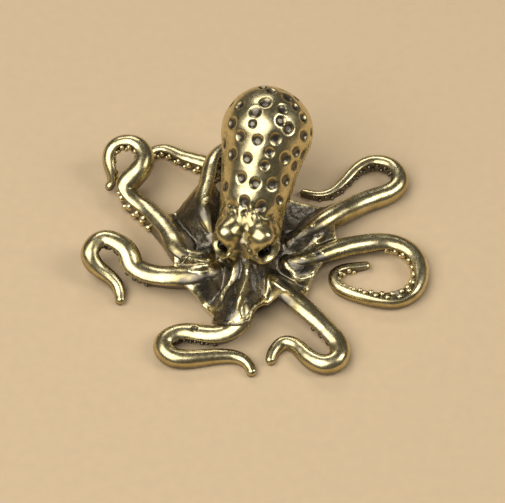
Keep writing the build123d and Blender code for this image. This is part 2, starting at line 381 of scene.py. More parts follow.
@dataclass
class Arm:
    """One tapered arm with a flat, darkened sucker face and two rows of suckers.

    Lengths are in mm. A range says where a change begins and where it is complete, and
    facing is how far the skin looks upwards, from -1 to 1.

    Attributes:
        route: how the arm runs.
        spread: length of a share of 1 along x or y.
        shift: how far the middle of all the arms lies along y.
        points: points of the middle line.
        thickness: thickness at the root of an arm of girth 1, without its skin.
        tip_thickness: thickness at the tip.
        foot_depth: how much closer to the table the middle line lies than the radius.
        skin_share: radius of the modelled skin against the arm's own.
        root_share: share of the radius that the arm has where it leaves the head.
        swell_share: share of the length over which it swells to its full radius.
        rows: rings from the root to the rounded tip.
        around: points in a ring.
        tip_steps: steps of the quarter circle that rounds the tip.
        worn: the waves of the worn skin.
        pore_radius: radius of a casting pore.
        pore_depth: depth of a pore.
        pore_dark: how dark a pore is.
        face_share: distance of the flat face from the middle, against the radius.
        face_sharpness: how sharply the round side turns into the face.
        face_edge: how far before and after the face's distance it turns dark.
        face_hollow: how hollow the face is between the rows, against the radius.
        face_start: range of shares of the length over which the face turns dark.
        under_facing: range of facing over which the underside turns dark with painted shade.
        painted_under_shade: how dark the painted shade on the underside is.
        root_reach: range of lengths from the root over which it turns dark.
        root_dark: how dark the root is.
        painted_root_highlight: how much brighter its upward-facing back is, as a painted highlight.
        root_facing: range of facing over which its back turns brighter with that painted highlight.
        root_mottle: the wave of its blotches.
        painted_crest_highlight: how bright the painted highlight on the upward-facing back is.
        crest_facing: range of facing over which the back turns bright with that painted highlight.
        row_share: distance of a sucker row from the face's middle, against the radius.
        sucker_first: share of the length at the first sucker.
        sucker_last: share of the length that the last sucker doesn't pass.
        sucker_pitch: length from one sucker to the next.
        sucker_radius: radius of the largest sucker.
        sucker_height: height of the largest sucker.
        sucker_sunk: how far a sucker's seat lies below the face, against the radius.
        sucker_rise: what a sucker's height gains from the arm, against the radius.
        sucker_taper: size of a sucker on no arm, and what it gains on the thickest.
        sucker_worn: size of an unworn sucker, and what it gains when its arm shows it bright.
        sucker_rings: width, height and rub of each ring of a sucker, from its foot up.
        sucker_around: points in a ring of a sucker.
        table_gap: least height of a sucker above the table.
        line: the middle line.
        length: length of the middle line.
        towards: directions from its points towards the suckers.
        upwards: directions square to those and to the line.
    """

    route: ArmRoute
    spread: float = 0.5 * LENGTH
    shift: float = -0.9
    points: int = 400
    thickness: float = 2.3
    tip_thickness: float = 0.9
    foot_depth: float = 0.12
    skin_share: float = 1.17
    root_share: float = 0.4
    swell_share: float = 0.2
    rows: int = 240
    around: int = 44
    tip_steps: int = 10
    worn: tuple[Wave, ...] = ((0.022, 1.6, 3), (0.008, 0.5, 4))
    pore_radius: float = 0.3
    pore_depth: float = 0.2
    pore_dark: float = 1.1
    face_share: float = 0.55
    face_sharpness: float = 14.0
    face_edge: Pair = (0.12, 0.25)
    face_hollow: float = 0.1
    face_start: Pair = (0.16, 0.3)
    under_facing: Pair = (0.5, -0.35)
    painted_under_shade: float = 0.85
    root_reach: Pair = (5.8, 2.6)
    root_dark: float = 0.95
    painted_root_highlight: float = 0.3
    root_facing: Pair = (0.6, 0.98)
    root_mottle: Wave = (0.3, 0.7, 8)
    painted_crest_highlight: float = 0.35
    crest_facing: Pair = (0.75, 0.98)
    row_share: float = 0.42
    sucker_first: float = 0.34
    sucker_last: float = 0.95
    sucker_pitch: float = 0.6
    sucker_radius: float = 0.37
    sucker_height: float = 0.36
    sucker_sunk: float = 0.12
    sucker_rise: float = 0.12
    sucker_taper: Pair = (0.45, 0.55)
    sucker_worn: Pair = (0.7, 0.3)
    sucker_rings: tuple[Triple, ...] = (
        (0.92, 0.0, 0.3), (1.0, 0.35, 0.7), (0.95, 0.72, 1.2), (0.72, 1.0, 1.4), (0.4, 1.04, 1.4),
    )
    sucker_around: int = 10
    table_gap: float = 0.02
    line: np.ndarray = field(init=False)
    length: float = field(init=False)
    towards: np.ndarray = field(init=False)
    upwards: np.ndarray = field(init=False)

    def __post_init__(self) -> None:
        """Works out the middle line and the directions across it."""
        places = np.array(self.route.places)
        share = np.linspace(0.0, 1.0, len(places))
        rest = np.maximum(self.radius(share) - self.foot_depth, 0.0)
        points = np.stack(
            [
                places[:, 0] * self.spread,
                places[:, 1] * self.spread + self.shift,
                places[:, 2] * HEIGHT + rest,
            ],
            axis=1,
        )
        self.line = smooth_route(points, self.points)
        self.length = float(np.linalg.norm(np.diff(self.line, axis=0), axis=1).sum())
        self.towards, self.upwards = self.across()

    def radius(self, share: np.ndarray) -> np.ndarray:
        """Radius along the arm: it swells out of the head like a sine, then tapers like 1 - s^2.

        Args:
            share: shares of the arm's length.

        Returns:
            A radius for each of them, without the skin.
        """
        full = self.route.girth * self.thickness / 2.0
        tip = self.tip_thickness / 2.0
        swell = np.sin(math.pi / 2.0 * np.minimum(1.0, share / self.swell_share))
        tapered = tip + (full - tip) * (1.0 - np.square(share))
        return tapered * (self.root_share + (1.0 - self.root_share) * swell)

    def across(self) -> tuple[np.ndarray, np.ndarray]:
        """Directions across the middle line: towards the suckers, and square to that and the line.

        The first is the level direction on the curl's side, rolled upwards by the route's rolls.

        Returns:
            Two arrays of unit vectors, with a row for each point of the line.
        """
        way = unit(np.gradient(self.line, axis=0))
        level = unit(np.cross(UP * self.route.curl.value, way))
        upward = unit(UP - way * way[:, 2:])
        steps = np.linspace(0.0, 1.0, len(self.route.rolls))
        roll = np.radians(np.interp(np.linspace(0.0, 1.0, len(way)), steps, self.route.rolls))[:, None]
        towards = level * np.cos(roll) + upward * np.sin(roll)
        return towards, np.cross(way, towards)

    def at(self, share: np.ndarray) -> tuple[np.ndarray, np.ndarray, np.ndarray]:
        """The middle line and its two directions at shares of its length.

        Args:
            share: the shares.

        Returns:
            Places, unit vectors towards the suckers, and unit vectors square to them.
        """
        towards = unit(along_line(self.line, share, self.towards))
        upwards = unit(along_line(self.line, share, self.upwards))
        return along_line(self.line, share), towards, upwards

    def section(self, angle: np.ndarray) -> tuple[np.ndarray, np.ndarray, np.ndarray]:
        """The section of an arm of radius 1.

        It is a circle whose part beyond the sucker face is pressed flat by a rounded minimum
        of the circle and the face, and which is slightly hollow between the two sucker rows.

        Args:
            angle: angles round the arm, with the suckers at 0.

        Returns:
            Distances towards the suckers and upwards, and how dark the place is.
        """
        circle, height = np.cos(angle), np.sin(angle)
        sharp = self.face_sharpness
        pressed = -np.log(np.exp(-sharp * circle) + math.exp(-sharp * self.face_share)) / sharp
        before, after = self.face_edge
        on_face = ease(self.face_share - before, self.face_share + after, circle)
        return pressed - self.face_hollow * on_face * (1.0 - np.square(height)), height, on_face

    def shell(self) -> Shells:
        """The arm's surface: its section carried along the middle line, with a rounded tip.

        Its point at share s and angle a is the line at s plus the radius times the section at
        a. Waves and pores then move it along its normals.

        Returns:
            One closed shell.
        """
        cap = self.tip_thickness / 2.0
        turn = np.linspace(0.0, math.pi / 2.0, self.tip_steps)[1:-1]
        straight = self.length - cap
        reach = np.concatenate([np.linspace(0.0, straight, self.rows), straight + cap * np.sin(turn)])
        share = reach / self.length
        line, towards, upwards = self.at(share)
        radius = self.radius(share) * self.skin_share
        radius[-len(turn) :] *= np.cos(turn)
        across, high, on_face = self.section(full_turn(self.around))
        rings = (
            line[:, None]
            + radius[:, None, None] * across[None, :, None] * towards[:, None]
            + radius[:, None, None] * high[None, :, None] * upwards[:, None]
        )
        worn = ripples(rings, self.worn) * np.minimum(1.0, radius[:, None])
        rings += ring_normals(rings) * worn[..., None]
        pit = np.zeros(rings.shape[:2])
        for pore in self.route.pores:
            far = np.linalg.norm(rings - np.array(pore), axis=2) / self.pore_radius
            pit = np.maximum(pit, plateau(far, PIT_POWER))
        rings -= ring_normals(rings) * (self.pore_depth * pit)[..., None]
        rings[..., 2] = np.maximum(rings[..., 2], 0.0)
        face = on_face[None, :] * ease(*self.face_start, share)[:, None]
        root = ease(*self.root_reach, reach)[:, None]
        recess = self.recess(rings, face, root, 1.0 - on_face[None, :])
        return Shells(rings[None], line[:1], line[-1:], np.maximum(recess, self.pore_dark * pit)[None])

    def recess(
        self, rings: np.ndarray, face: np.ndarray, root: np.ndarray, back: np.ndarray
    ) -> np.ndarray:
        """How dark each place of the skin is: the most of the face, the underside's painted shade and the
        root, less a painted highlight on the upward-facing back.

        Args:
            rings: the skin.
            face: how far each place is on the dark sucker face.
            root: how near each ring is to the root.
            back: how far each place is off the sucker face.

        Returns:
            One number for each place.
        """
        facing = ring_normals(rings)[..., 2]
        # the root is darkened; its upward-facing top is lightened as a painted highlight
        shaded = root * (
            self.root_dark
            - self.painted_root_highlight * ease(*self.root_facing, facing)
            + ripples(rings, (self.root_mottle,))
        )
        # painted shade: the downward-facing underside is darkened
        under = self.painted_under_shade * ease(*self.under_facing, facing)
        # painted highlight: the upward-facing back, off the sucker face, is lightened
        polish_and_painted_highlight = self.painted_crest_highlight * (1.0 - root) * ease(*self.crest_facing, facing) * back
        return np.maximum(np.maximum(face, under), shaded) - polish_and_painted_highlight

    def beads(self) -> Shells:
        """The suckers: low domes whose tops are rounded off, in two rows that alternate.

        Each is a few rings round the direction towards it, whose width and height grow with
        the arm's thickness.

        Returns:
            One closed shell for each sucker.
        """
        first = self.sucker_first * self.length
        count = int((self.sucker_last * self.length - first) / self.sucker_pitch) + 1
        share = (first + np.arange(count) * self.sucker_pitch) / self.length
        side = np.where(np.arange(count) % 2 == 0, -1.0, 1.0)
        radius = self.radius(share)
        line, towards, upwards = self.at(share)
        way = np.cross(towards, upwards)
        seat = (
            line
            + towards * (radius * (self.face_share - self.sucker_sunk))[:, None]
            + upwards * (side * self.row_share * radius)[:, None]
        )
        wide, high, rub = np.array(self.sucker_rings).T
        small, gain = self.sucker_taper
        unworn, worn = self.sucker_worn
        taper = 2.0 * radius / self.thickness
        grown = (small + gain * taper) * (unworn + worn * self.route.bead_wear)
        size = (self.sucker_radius * grown)[:, None, None, None]
        tall = self.sucker_height * grown + self.sucker_rise * radius
        angle = full_turn(self.sucker_around)[None, :, None]
        spoke = np.cos(angle) * way[:, None] + np.sin(angle) * upwards[:, None]
        rings = (
            seat[:, None, None]
            + size * wide[None, :, None, None] * spoke[:, None]
            + tall[:, None, None, None] * high[None, :, None, None] * towards[:, None, None]
        )
        foot, top = seat.copy(), seat + towards * tall[:, None]
        for places in (rings, foot, top):
            places[..., 2] = np.maximum(places[..., 2], self.table_gap)
        shade = 1.0 - self.route.bead_wear * rub
        recess = np.broadcast_to(shade[None, :, None], rings.shape[:3]).copy()
        return Shells(rings, foot, top, recess)

    def build(self, looks: "Looks") -> None:
        """Makes the arm and its suckers.

        Args:
            looks: the figurine's finishes.
        """
        name = self.route.name
        self.shell().make(f"{name}_arm", (f"arm_{name}",), Slot.BODY, looks.body)
        self.beads().make(f"{name}_sucker_beads", (f"suckers_{name}",), Slot.RECESS, looks.recess)


ROUTES: tuple[ArmRoute, ...] = (
    ArmRoute(
        "front_left", Curl.LEFT, girth=1.0, bead_wear=0.0, skirt=1.5,
        rolls=(-30.0, -30.0),
        places=(
            (-0.04, -0.2, 0.13), (-0.04, -0.29, 0.13), (-0.02, -0.39, 0.11), (0.0, -0.48, 0.06),
            (-0.05, -0.54, 0.02), (-0.15, -0.57, 0.0), (-0.26, -0.57, 0.0), (-0.36, -0.59, 0.0),
            (-0.41, -0.66, 0.0), (-0.37, -0.72, 0.0), (-0.28, -0.73, 0.0), (-0.17, -0.7, 0.0),
            (-0.06, -0.67, 0.0), (0.02, -0.67, 0.0), (0.08, -0.71, 0.0), (0.11, -0.77, 0.0),
        ),
        pores=((-4.5, -11.1, 2.2),),
    ),
    ArmRoute(
        "front_right", Curl.RIGHT, girth=1.0, bead_wear=0.0, skirt=1.2,
        rolls=(-30.0, -30.0),
        places=(
            (0.1, -0.16, 0.13), (0.15, -0.21, 0.12), (0.21, -0.26, 0.08), (0.3, -0.31, 0.03),
            (0.41, -0.38, 0.0), (0.5, -0.46, 0.0), (0.56, -0.54, 0.0), (0.55, -0.62, 0.0),
            (0.49, -0.65, 0.0), (0.42, -0.63, 0.0), (0.36, -0.58, 0.0), (0.31, -0.54, 0.0),
            (0.25, -0.53, 0.0), (0.21, -0.57, 0.0), (0.19, -0.63, 0.0), (0.19, -0.68, 0.0),
        ),
    ),
    ArmRoute(
        "side_right", Curl.RIGHT, girth=0.95, bead_wear=1.0, skirt=1.0,
        rolls=(-35.0, -45.0, -45.0, -25.0, -5.0, 75.0, 50.0, 10.0, -25.0),
        places=(
            (0.2, -0.03, 0.13), (0.29, -0.02, 0.12), (0.39, 0.05, 0.08), (0.5, 0.14, 0.04),
            (0.63, 0.21, 0.01), (0.76, 0.24, 0.0), (0.87, 0.2, 0.0), (0.93, 0.11, 0.0),
            (0.94, 0.01, 0.0), (0.91, -0.08, 0.0), (0.83, -0.14, 0.0), (0.73, -0.15, 0.0),
            (0.64, -0.14, 0.0), (0.55, -0.12, 0.0), (0.49, -0.08, 0.0), (0.47, -0.02, 0.01),
            (0.51, 0.03, 0.01), (0.58, 0.06, 0.01), (0.66, 0.09, 0.01),
        ),
    ),
    ArmRoute(
        "rear_right", Curl.LEFT, girth=0.95, bead_wear=0.2, skirt=1.0,
        rolls=(-20.0, -15.0, -10.0, 0.0),
        places=(
            (0.19, 0.11, 0.13), (0.27, 0.18, 0.12), (0.35, 0.27, 0.1), (0.43, 0.37, 0.07),
            (0.51, 0.46, 0.04), (0.61, 0.55, 0.02), (0.7, 0.62, 0.01), (0.75, 0.69, 0.02),
            (0.73, 0.77, 0.03), (0.67, 0.82, 0.03), (0.59, 0.83, 0.03), (0.52, 0.79, 0.03),
            (0.46, 0.71, 0.02), (0.41, 0.63, 0.01), (0.34, 0.57, 0.0), (0.25, 0.56, 0.0),
            (0.18, 0.58, 0.0),
        ),
    ),
    ArmRoute(
        "rear_left", Curl.RIGHT, girth=0.95, bead_wear=0.2, skirt=1.0,
        rolls=(0.0, 0.0),
        places=(
            (-0.27, 0.1, 0.13), (-0.31, 0.18, 0.13), (-0.34, 0.27, 0.13), (-0.34, 0.37, 0.14),
            (-0.34, 0.48, 0.15), (-0.34, 0.59, 0.16), (-0.31, 0.69, 0.15), (-0.25, 0.75, 0.13),
            (-0.18, 0.75, 0.1), (-0.14, 0.69, 0.07),
        ),
    ),
    ArmRoute(
        "rear_middle", Curl.LEFT, girth=1.15, bead_wear=1.0, skirt=1.0,
        rolls=(-12.0, -12.0),
        places=(
            (-0.02, 0.35, 0.1), (-0.02, 0.43, 0.06), (-0.08, 0.51, 0.02), (-0.19, 0.58, 0.0),
            (-0.32, 0.63, 0.0), (-0.45, 0.67, 0.0), (-0.57, 0.71, 0.0), (-0.67, 0.75, 0.0),
            (-0.74, 0.73, 0.0), (-0.76, 0.65, 0.0),
        ),
    ),
    ArmRoute(
        "corner_left", Curl.LEFT, girth=1.2, bead_wear=1.0, skirt=1.0,
        rolls=(-20.0, -6.0, -6.0, -20.0, -10.0),
        places=(
            (-0.26, -0.06, 0.13), (-0.33, -0.1, 0.1), (-0.4, -0.09, 0.07), (-0.46, -0.03, 0.05),
            (-0.51, 0.05, 0.03), (-0.6, 0.16, 0.01), (-0.7, 0.25, 0.0), (-0.79, 0.31, 0.02),
            (-0.83, 0.37, 0.06), (-0.79, 0.43, 0.12), (-0.75, 0.49, 0.16), (-0.76, 0.57, 0.19),
            (-0.82, 0.62, 0.21), (-0.89, 0.62, 0.21), (-0.94, 0.58, 0.2), (-0.95, 0.52, 0.16),
            (-0.93, 0.47, 0.12), (-0.92, 0.43, 0.07), (-0.95, 0.39, 0.04),
        ),
    ),
    ArmRoute(
        "side_left", Curl.LEFT, girth=1.15, bead_wear=0.0, skirt=1.0,
        rolls=(-30.0, -30.0),
        places=(
            (-0.18, -0.16, 0.13), (-0.24, -0.21, 0.11), (-0.31, -0.23, 0.07), (-0.4, -0.23, 0.03),
            (-0.51, -0.23, 0.01), (-0.61, -0.22, 0.02), (-0.68, -0.19, 0.05), (-0.72, -0.13, 0.1),
            (-0.79, -0.09, 0.13), (-0.86, -0.08, 0.14), (-0.91, -0.12, 0.14), (-0.92, -0.18, 0.12),
            (-0.88, -0.22, 0.08), (-0.81, -0.25, 0.05), (-0.75, -0.29, 0.02), (-0.72, -0.35, 0.0),
            (-0.71, -0.4, 0.0),
        ),
    ),
)


# Mantle and eyes


@dataclass
class Mantle:
    """The bulb, neck and head on one leaning axis, with dimples, brows and eye sockets.

    Lengths are in mm. The places of dimples are shares of the outline from the nose to the end
    of the bulb, and degrees round the axis, from its right side over its top. A range says
    where a change begins and where it is complete.

    Attributes:
        head: centre of the head's ball.
        bulb: centre of the bulb's ball.
        head_radius: radius of the head.
        bulb_radius: radius of the bulb.
        bend_radius: radius of the hollow curve of the neck.
        arc_points: points of each of the outline's three arcs.
        rings: rings of the skin from the nose to the end of the bulb.
        around: points in a ring.
        dimple_radius: radius of a dimple of size 1.
        dimple_depth: depth of a dimple.
        dimple_sizes: size of the smallest dimple, and how much larger the largest is.
        dimple_steps: how many sizes there are, and the step from one dimple's size to the next.
        dimple_dark: how dark a dimple is, and how far out against its radius.
        dimple_rub: how bright its rim is, the rim's distance and its width.
        brow_spacing: distance between the brows.
        brow_forward: how far they lie in front of the head's centre.
        brow_rise: how far they lie above it.
        brow_height: height of a brow.
        brow_width: distance over which a brow falls.
        brow_power: how steeply it falls.
        moat: depth, distance against the brow's width, and width of the hollow round it.
        eye_spacing: distance between the eyes.
        eye_forward: how far they lie in front of the head's centre.
        eye_rise: how far they lie above it.
        eye_radius: radius of an eye.
        eye_sunk: how far an eye's ball is set back.
        gaze: where the right eye looks; the left one looks there mirrored.
        pupil: height of the pupil against the eye, and the angle that it covers.
        eye_rings: rings of an eye, and one at each pole.
        eye_around: points in such a ring.
        eye_dark: how dark the pupil is, and how much darker the rest.
        eye_edge: range of angles from the pupil over which the eye turns dark.
        socket: half width and half height of a socket.
        socket_reach: half length of a socket along its own direction.
        socket_depth: depth of a socket.
        socket_dark: how dark a socket is, and how far out against its size.
        socket_rub: how bright its rim is, the rim's distance and its width.
        lid_rise: how far the socket lies above the eye.
        lid: height, distance and width of the lower lid.
        lid_below: range of heights over which the lower lid ends.
        nose_ahead: range along the axis over which the nose begins.
        nose_above: range across the axis over which the nose begins.
        nose_width: half width of the rough nose.
        groove: depth and half width of the groove between the brows.
        groove_dark: how dark it is, and its dark half width.
        nape: depth, place along the axis and width of the dip behind the brows.
        rough_band: place along the axis and width of the wrinkled band.
        rough_above: range across the axis over which the band begins.
        wrinkles: the waves of the wrinkles.
        wrinkle_height: height of the wrinkles in the band and on the nose.
        wrinkle_dark: how dark the bottoms of the wrinkles are.
        wrinkle_low: range of the wrinkles' own height over which they turn dark.
        swells: the broad waves of the whole skin.
        under_facing: range of upward facing over which the underside turns dark with painted shade.
        painted_under_shade: how dark the painted shade on the underside is.
        recess_range: least and greatest recess value.
        seen_dimples: dimples that the photograph shows.
        hidden_dimples: dimples round the far side.
        centre: the centre of the head, from which all else is measured.
        axis: the direction from there to the centre of the bulb.
        run: the distance to it.
        side: the level direction square to the axis.
        rise: the direction square to both, over the back.
    """

    head: Triple = (-0.9, -0.5, 4.2)
    bulb: Triple = (-0.3, 8.8, 10.25)
    head_radius: float = 3.4
    bulb_radius: float = 4.7
    bend_radius: float = 38.0
    arc_points: int = 220
    rings: int = 250
    around: int = 380
    dimple_radius: float = 0.52
    dimple_depth: float = 0.24
    dimple_sizes: Pair = (0.86, 0.26)
    dimple_steps: tuple[int, int] = (5, 7)
    dimple_dark: Pair = (1.25, 0.97)
    dimple_rub: Triple = (0.2, 1.35, 0.22)
    brow_spacing: float = 4.1
    brow_forward: float = 1.45
    brow_rise: float = 2.25
    brow_height: float = 0.9
    brow_width: float = 1.2
    brow_power: float = 2.4
    moat: Triple = (0.12, 1.5, 0.4)
    eye_spacing: float = 4.9
    eye_forward: float = 1.9
    eye_rise: float = 0.55
    eye_radius: float = 0.62
    eye_sunk: float = 0.42
    gaze: Triple = (0.7, -0.7, 0.1)
    pupil: Pair = (0.12, 0.5)
    eye_rings: int = 42
    eye_around: int = 48
    eye_dark: Pair = (0.4, 0.6)
    eye_edge: Pair = (0.3, 0.7)
    socket: Pair = (1.12, 0.85)
    socket_reach: float = 2.5
    socket_depth: float = 0.8
    socket_dark: Pair = (1.2, 1.05)
    socket_rub: Triple = (0.5, 1.35, 0.22)
    lid_rise: float = 0.2
    lid: Triple = (0.3, 1.3, 0.3)
    lid_below: Pair = (0.4, -0.3)
    nose_ahead: Pair = (3.2, -0.3)
    nose_above: Pair = (-0.5, 1.2)
    nose_width: float = 1.2
    groove: Pair = (0.5, 0.7)
    groove_dark: Pair = (0.65, 0.9)
    nape: Triple = (0.35, 2.3, 0.9)
    rough_band: Pair = (2.5, 0.85)
    rough_above: Pair = (-0.8, 1.0)
    wrinkles: tuple[Wave, ...] = ((1.0, 0.55, 11), (0.6, 0.28, 12))
    wrinkle_height: Pair = (0.07, 0.05)
    wrinkle_dark: float = 0.55
    wrinkle_low: Pair = (0.1, -0.5)
    swells: tuple[Wave, ...] = ((0.045, 2.2, 13),)
    under_facing: Pair = (0.1, -0.75)
    painted_under_shade: float = 0.55
    recess_range: Pair = (-0.5, 1.2)
    seen_dimples: tuple[tuple[float, int], ...] = (
        (0.905, 116), (0.883, 90), (0.855, 55), (0.77, 129), (0.795, 92), (0.81, 44), (0.782, 66),
        (0.743, 102), (0.768, 31), (0.685, 132), (0.69, 102), (0.725, 67), (0.7, 55), (0.633, 117),
        (0.69, 28), (0.718, 7), (0.623, 92), (0.645, 69), (0.595, 156), (0.555, 130), (0.583, 73),
        (0.615, 33), (0.613, 12), (0.54, 103), (0.575, 48), (0.525, 76), (0.555, 23), (0.495, 163),
        (0.458, 109), (0.487, 33), (0.515, 354), (0.443, 85), (0.455, 57), (0.415, 143),
        (0.36, 98), (0.398, 36), (0.357, 67),
    )
    hidden_dimples: tuple[tuple[float, int], ...] = (
        (0.95, 40), (0.96, 180), (0.94, 290), (0.87, 160), (0.86, 205), (0.87, 250), (0.86, 300),
        (0.85, 345), (0.88, 20), (0.78, 158), (0.76, 190), (0.78, 222), (0.76, 255), (0.78, 288),
        (0.76, 320), (0.78, 352), (0.68, 172), (0.67, 205), (0.69, 238), (0.67, 270), (0.69, 303),
        (0.67, 335), (0.58, 188), (0.57, 220), (0.59, 254), (0.57, 290), (0.59, 325), (0.48, 200),
        (0.47, 238), (0.48, 275), (0.47, 315), (0.41, 175), (0.4, 330), (0.4, 5),
    )
    centre: np.ndarray = field(init=False)
    axis: np.ndarray = field(init=False)
    run: float = field(init=False)
    side: np.ndarray = field(init=False)
    rise: np.ndarray = field(init=False)

    def __post_init__(self) -> None:
        """Works out the axis and the two directions across it."""
        self.centre = np.array(self.head)
        self.axis = np.array(self.bulb) - self.centre
        self.run = float(np.linalg.norm(self.axis))
        self.axis = self.axis / self.run
        self.side = unit(np.cross(self.axis, UP))
        self.rise = np.cross(self.side, self.axis)

    def outline(self) -> np.ndarray:
        """The outline beside the axis: a ball, a hollow curve that touches both balls, a ball.

        The centre of the hollow curve is where circles round both balls' centres meet, each
        with the radius of its ball and of the curve together.

        Returns:
            Points with their distances along the axis and from it.
        """
        from_head = self.head_radius + self.bend_radius
        from_bulb = self.bulb_radius + self.bend_radius
        along = (self.run**2 + from_head**2 - from_bulb**2) / (2.0 * self.run)
        bend = np.array([along, math.sqrt(from_head**2 - along**2)])
        bulb = np.array([self.run, 0.0])
        head_touch = bend * self.head_radius / from_head
        bulb_touch = bulb + (bend - bulb) * self.bulb_radius / from_bulb

        def towards(centre: np.ndarray, place: np.ndarray) -> float:
            """The angle from a centre towards a place."""
            return math.atan2(place[1] - centre[1], place[0] - centre[0])

        def arc(centre: np.ndarray, radius: float, first: float, last: float) -> np.ndarray:
            """Points on a circle from one angle to another."""
            angle = np.linspace(first, last, self.arc_points)
            return centre + radius * np.stack([np.cos(angle), np.sin(angle)], axis=1)

        head = np.zeros(2)
        neck = arc(bend, self.bend_radius, towards(bend, head_touch), towards(bend, bulb_touch))
        return np.concatenate(
            [
                arc(head, self.head_radius, math.pi, towards(head, head_touch)),
                neck[1:],
                arc(bulb, self.bulb_radius, towards(bulb, bulb_touch), 0.0)[1:],
            ]
        )

    def on_skin(self, share: np.ndarray, turn: np.ndarray) -> np.ndarray:
        """Places on the plain mantle: the outline turned round the axis.

        Args:
            share: shares of the outline from the nose to the end of the bulb.
            turn: angles round the axis, in radians.

        Returns:
            Places in mm, with 3 numbers in a last axis.
        """
        outline = along_line(self.outline(), np.ravel(share)).reshape(np.shape(share) + (2,))
        spoke = np.cos(turn)[..., None] * self.side + np.sin(turn)[..., None] * self.rise
        return self.centre + outline[..., :1] * self.axis + outline[..., 1:] * spoke

    def feature(self, side: int, spacing: float, forward: float, rise: float) -> np.ndarray:
        """A place on the face, measured from the centre of the head; side is -1 or 1."""
        return self.centre + np.array([side * spacing / 2.0, -forward, rise])

    def eye_place(self, side: int) -> np.ndarray:
        """The centre of an eye; side is -1 on the left and 1 on the right."""
        return self.feature(side, self.eye_spacing, self.eye_forward, self.eye_rise)

    def dimpled(self, skin: np.ndarray) -> tuple[np.ndarray, np.ndarray]:
        """The dimples: pits with a flat floor, exp(-(r / radius)^4) deep, and a rubbed rim.

        Args:
            skin: places on the plain mantle.

        Returns:
            How far each place moves outwards, and how dark it is.
        """
        move, dark = np.zeros(skin.shape[:2]), np.zeros(skin.shape[:2])
        least, more = self.dimple_sizes
        kinds, step = self.dimple_steps
        depth, reach = self.dimple_dark
        rub, rim, width = self.dimple_rub
        for index, (place, degrees) in enumerate(self.seen_dimples + self.hidden_dimples):
            centre = self.on_skin(np.array([place]), np.array([math.radians(degrees)]))[0]
            size = self.dimple_radius * (least + more * ((index * step) % kinds) / (kinds - 1))
            far = np.linalg.norm(skin - centre, axis=2) / size
            move -= self.dimple_depth * plateau(far, PIT_POWER)
            dark = np.maximum(dark, depth * plateau(far / reach, SHADE_POWER))
            dark = dark - rub * bell(far - rim, width)
        return move, dark

    def faced(self, skin: np.ndarray, move: np.ndarray, dark: np.ndarray) -> tuple[np.ndarray, np.ndarray]:
        """The brows and eye sockets: a brow is a bell in a shallow moat, a socket a deep oval pit.

        Args:
            skin: places on the plain mantle.
            move: how far each place moves outwards so far.
            dark: how dark it is so far.

        Returns:
            Both with the brows and sockets added.
        """
        moat, moat_place, moat_width = self.moat
        lid, lid_place, lid_width = self.lid
        depth, reach = self.socket_dark
        rub, rim, width = self.socket_rub
        wide, tall = self.socket
        for side in (-1, 1):
            brow = self.feature(side, self.brow_spacing, self.brow_forward, self.brow_rise)
            from_brow = np.linalg.norm(skin - brow, axis=2)
            move = move + self.brow_height * plateau(from_brow / self.brow_width, self.brow_power)
            move = move - moat * bell(from_brow - moat_place * self.brow_width, moat_width)
            eye = self.eye_place(side)
            out = unit(eye - self.centre)
            level = unit(np.cross(UP, out))
            gap = skin - eye - UP * self.lid_rise
            high = gap @ np.cross(out, level)
            far = np.sqrt(
                ((gap @ level) / wide) ** 2 + (high / tall) ** 2 + (gap @ out / self.socket_reach) ** 2
            )
            below = ease(*self.lid_below, high)
            swollen = lid * below * bell(far - lid_place, lid_width)
            move = move - self.socket_depth * plateau(far, PIT_POWER) + swollen
            dark = np.maximum(dark, depth * plateau(far / reach, SHADE_POWER))
            dark = dark - rub * bell(far - rim, width)
        return move, dark

    def wrinkled(self, skin: np.ndarray, move: np.ndarray, dark: np.ndarray) -> tuple[np.ndarray, np.ndarray]:
        """The groove of the nose, the dip behind the brows, the wrinkles and the broad waves.

        Args:
            skin: places on the plain mantle.
            move: how far each place moves outwards so far.
            dark: how dark it is so far.

        Returns:
            Both with these added.
        """
        ahead, aside, above = ((skin - self.centre) @ way for way in (self.axis, self.side, self.rise))
        nose = ease(*self.nose_ahead, ahead) * ease(*self.nose_above, above)
        groove, groove_width = self.groove
        groove_dark, dark_width = self.groove_dark
        dip, dip_place, dip_width = self.nape
        move = move - groove * nose * bell(aside, groove_width)
        move = move - dip * bell(ahead - dip_place, dip_width) * ease(*self.nose_above, above)
        dark = np.maximum(dark, groove_dark * nose * bell(aside, dark_width))
        band, band_width = self.rough_band
        rough = bell(ahead - band, band_width) * ease(*self.rough_above, above)
        wrinkle = ripples(skin, self.wrinkles)
        in_band, on_nose = self.wrinkle_height
        height = in_band * rough + on_nose * nose * bell(aside, self.nose_width)
        move = move + height * wrinkle + ripples(skin, self.swells)
        return move, dark + self.wrinkle_dark * rough * ease(*self.wrinkle_low, wrinkle)

    def shell(self) -> Shells:
        """The modelled skin: the plain mantle moved along its normals by all of its features.

        Returns:
            One closed shell.
        """
        share = np.linspace(0.0, 1.0, self.rings + 2)[1:-1]
        skin = self.on_skin(*np.meshgrid(share, full_turn(self.around), indexing="ij"))
        normal = ring_normals(skin)
        move, dark = self.dimpled(skin)
        move, dark = self.faced(skin, move, dark)
        move, dark = self.wrinkled(skin, move, dark)
        # painted shade: the downward-facing underside is darkened
        under = self.painted_under_shade * ease(*self.under_facing, normal[..., 2])
        recess = np.clip(np.maximum(dark, under), *self.recess_range)
        return Shells.single(skin + normal * move[..., None], recess)

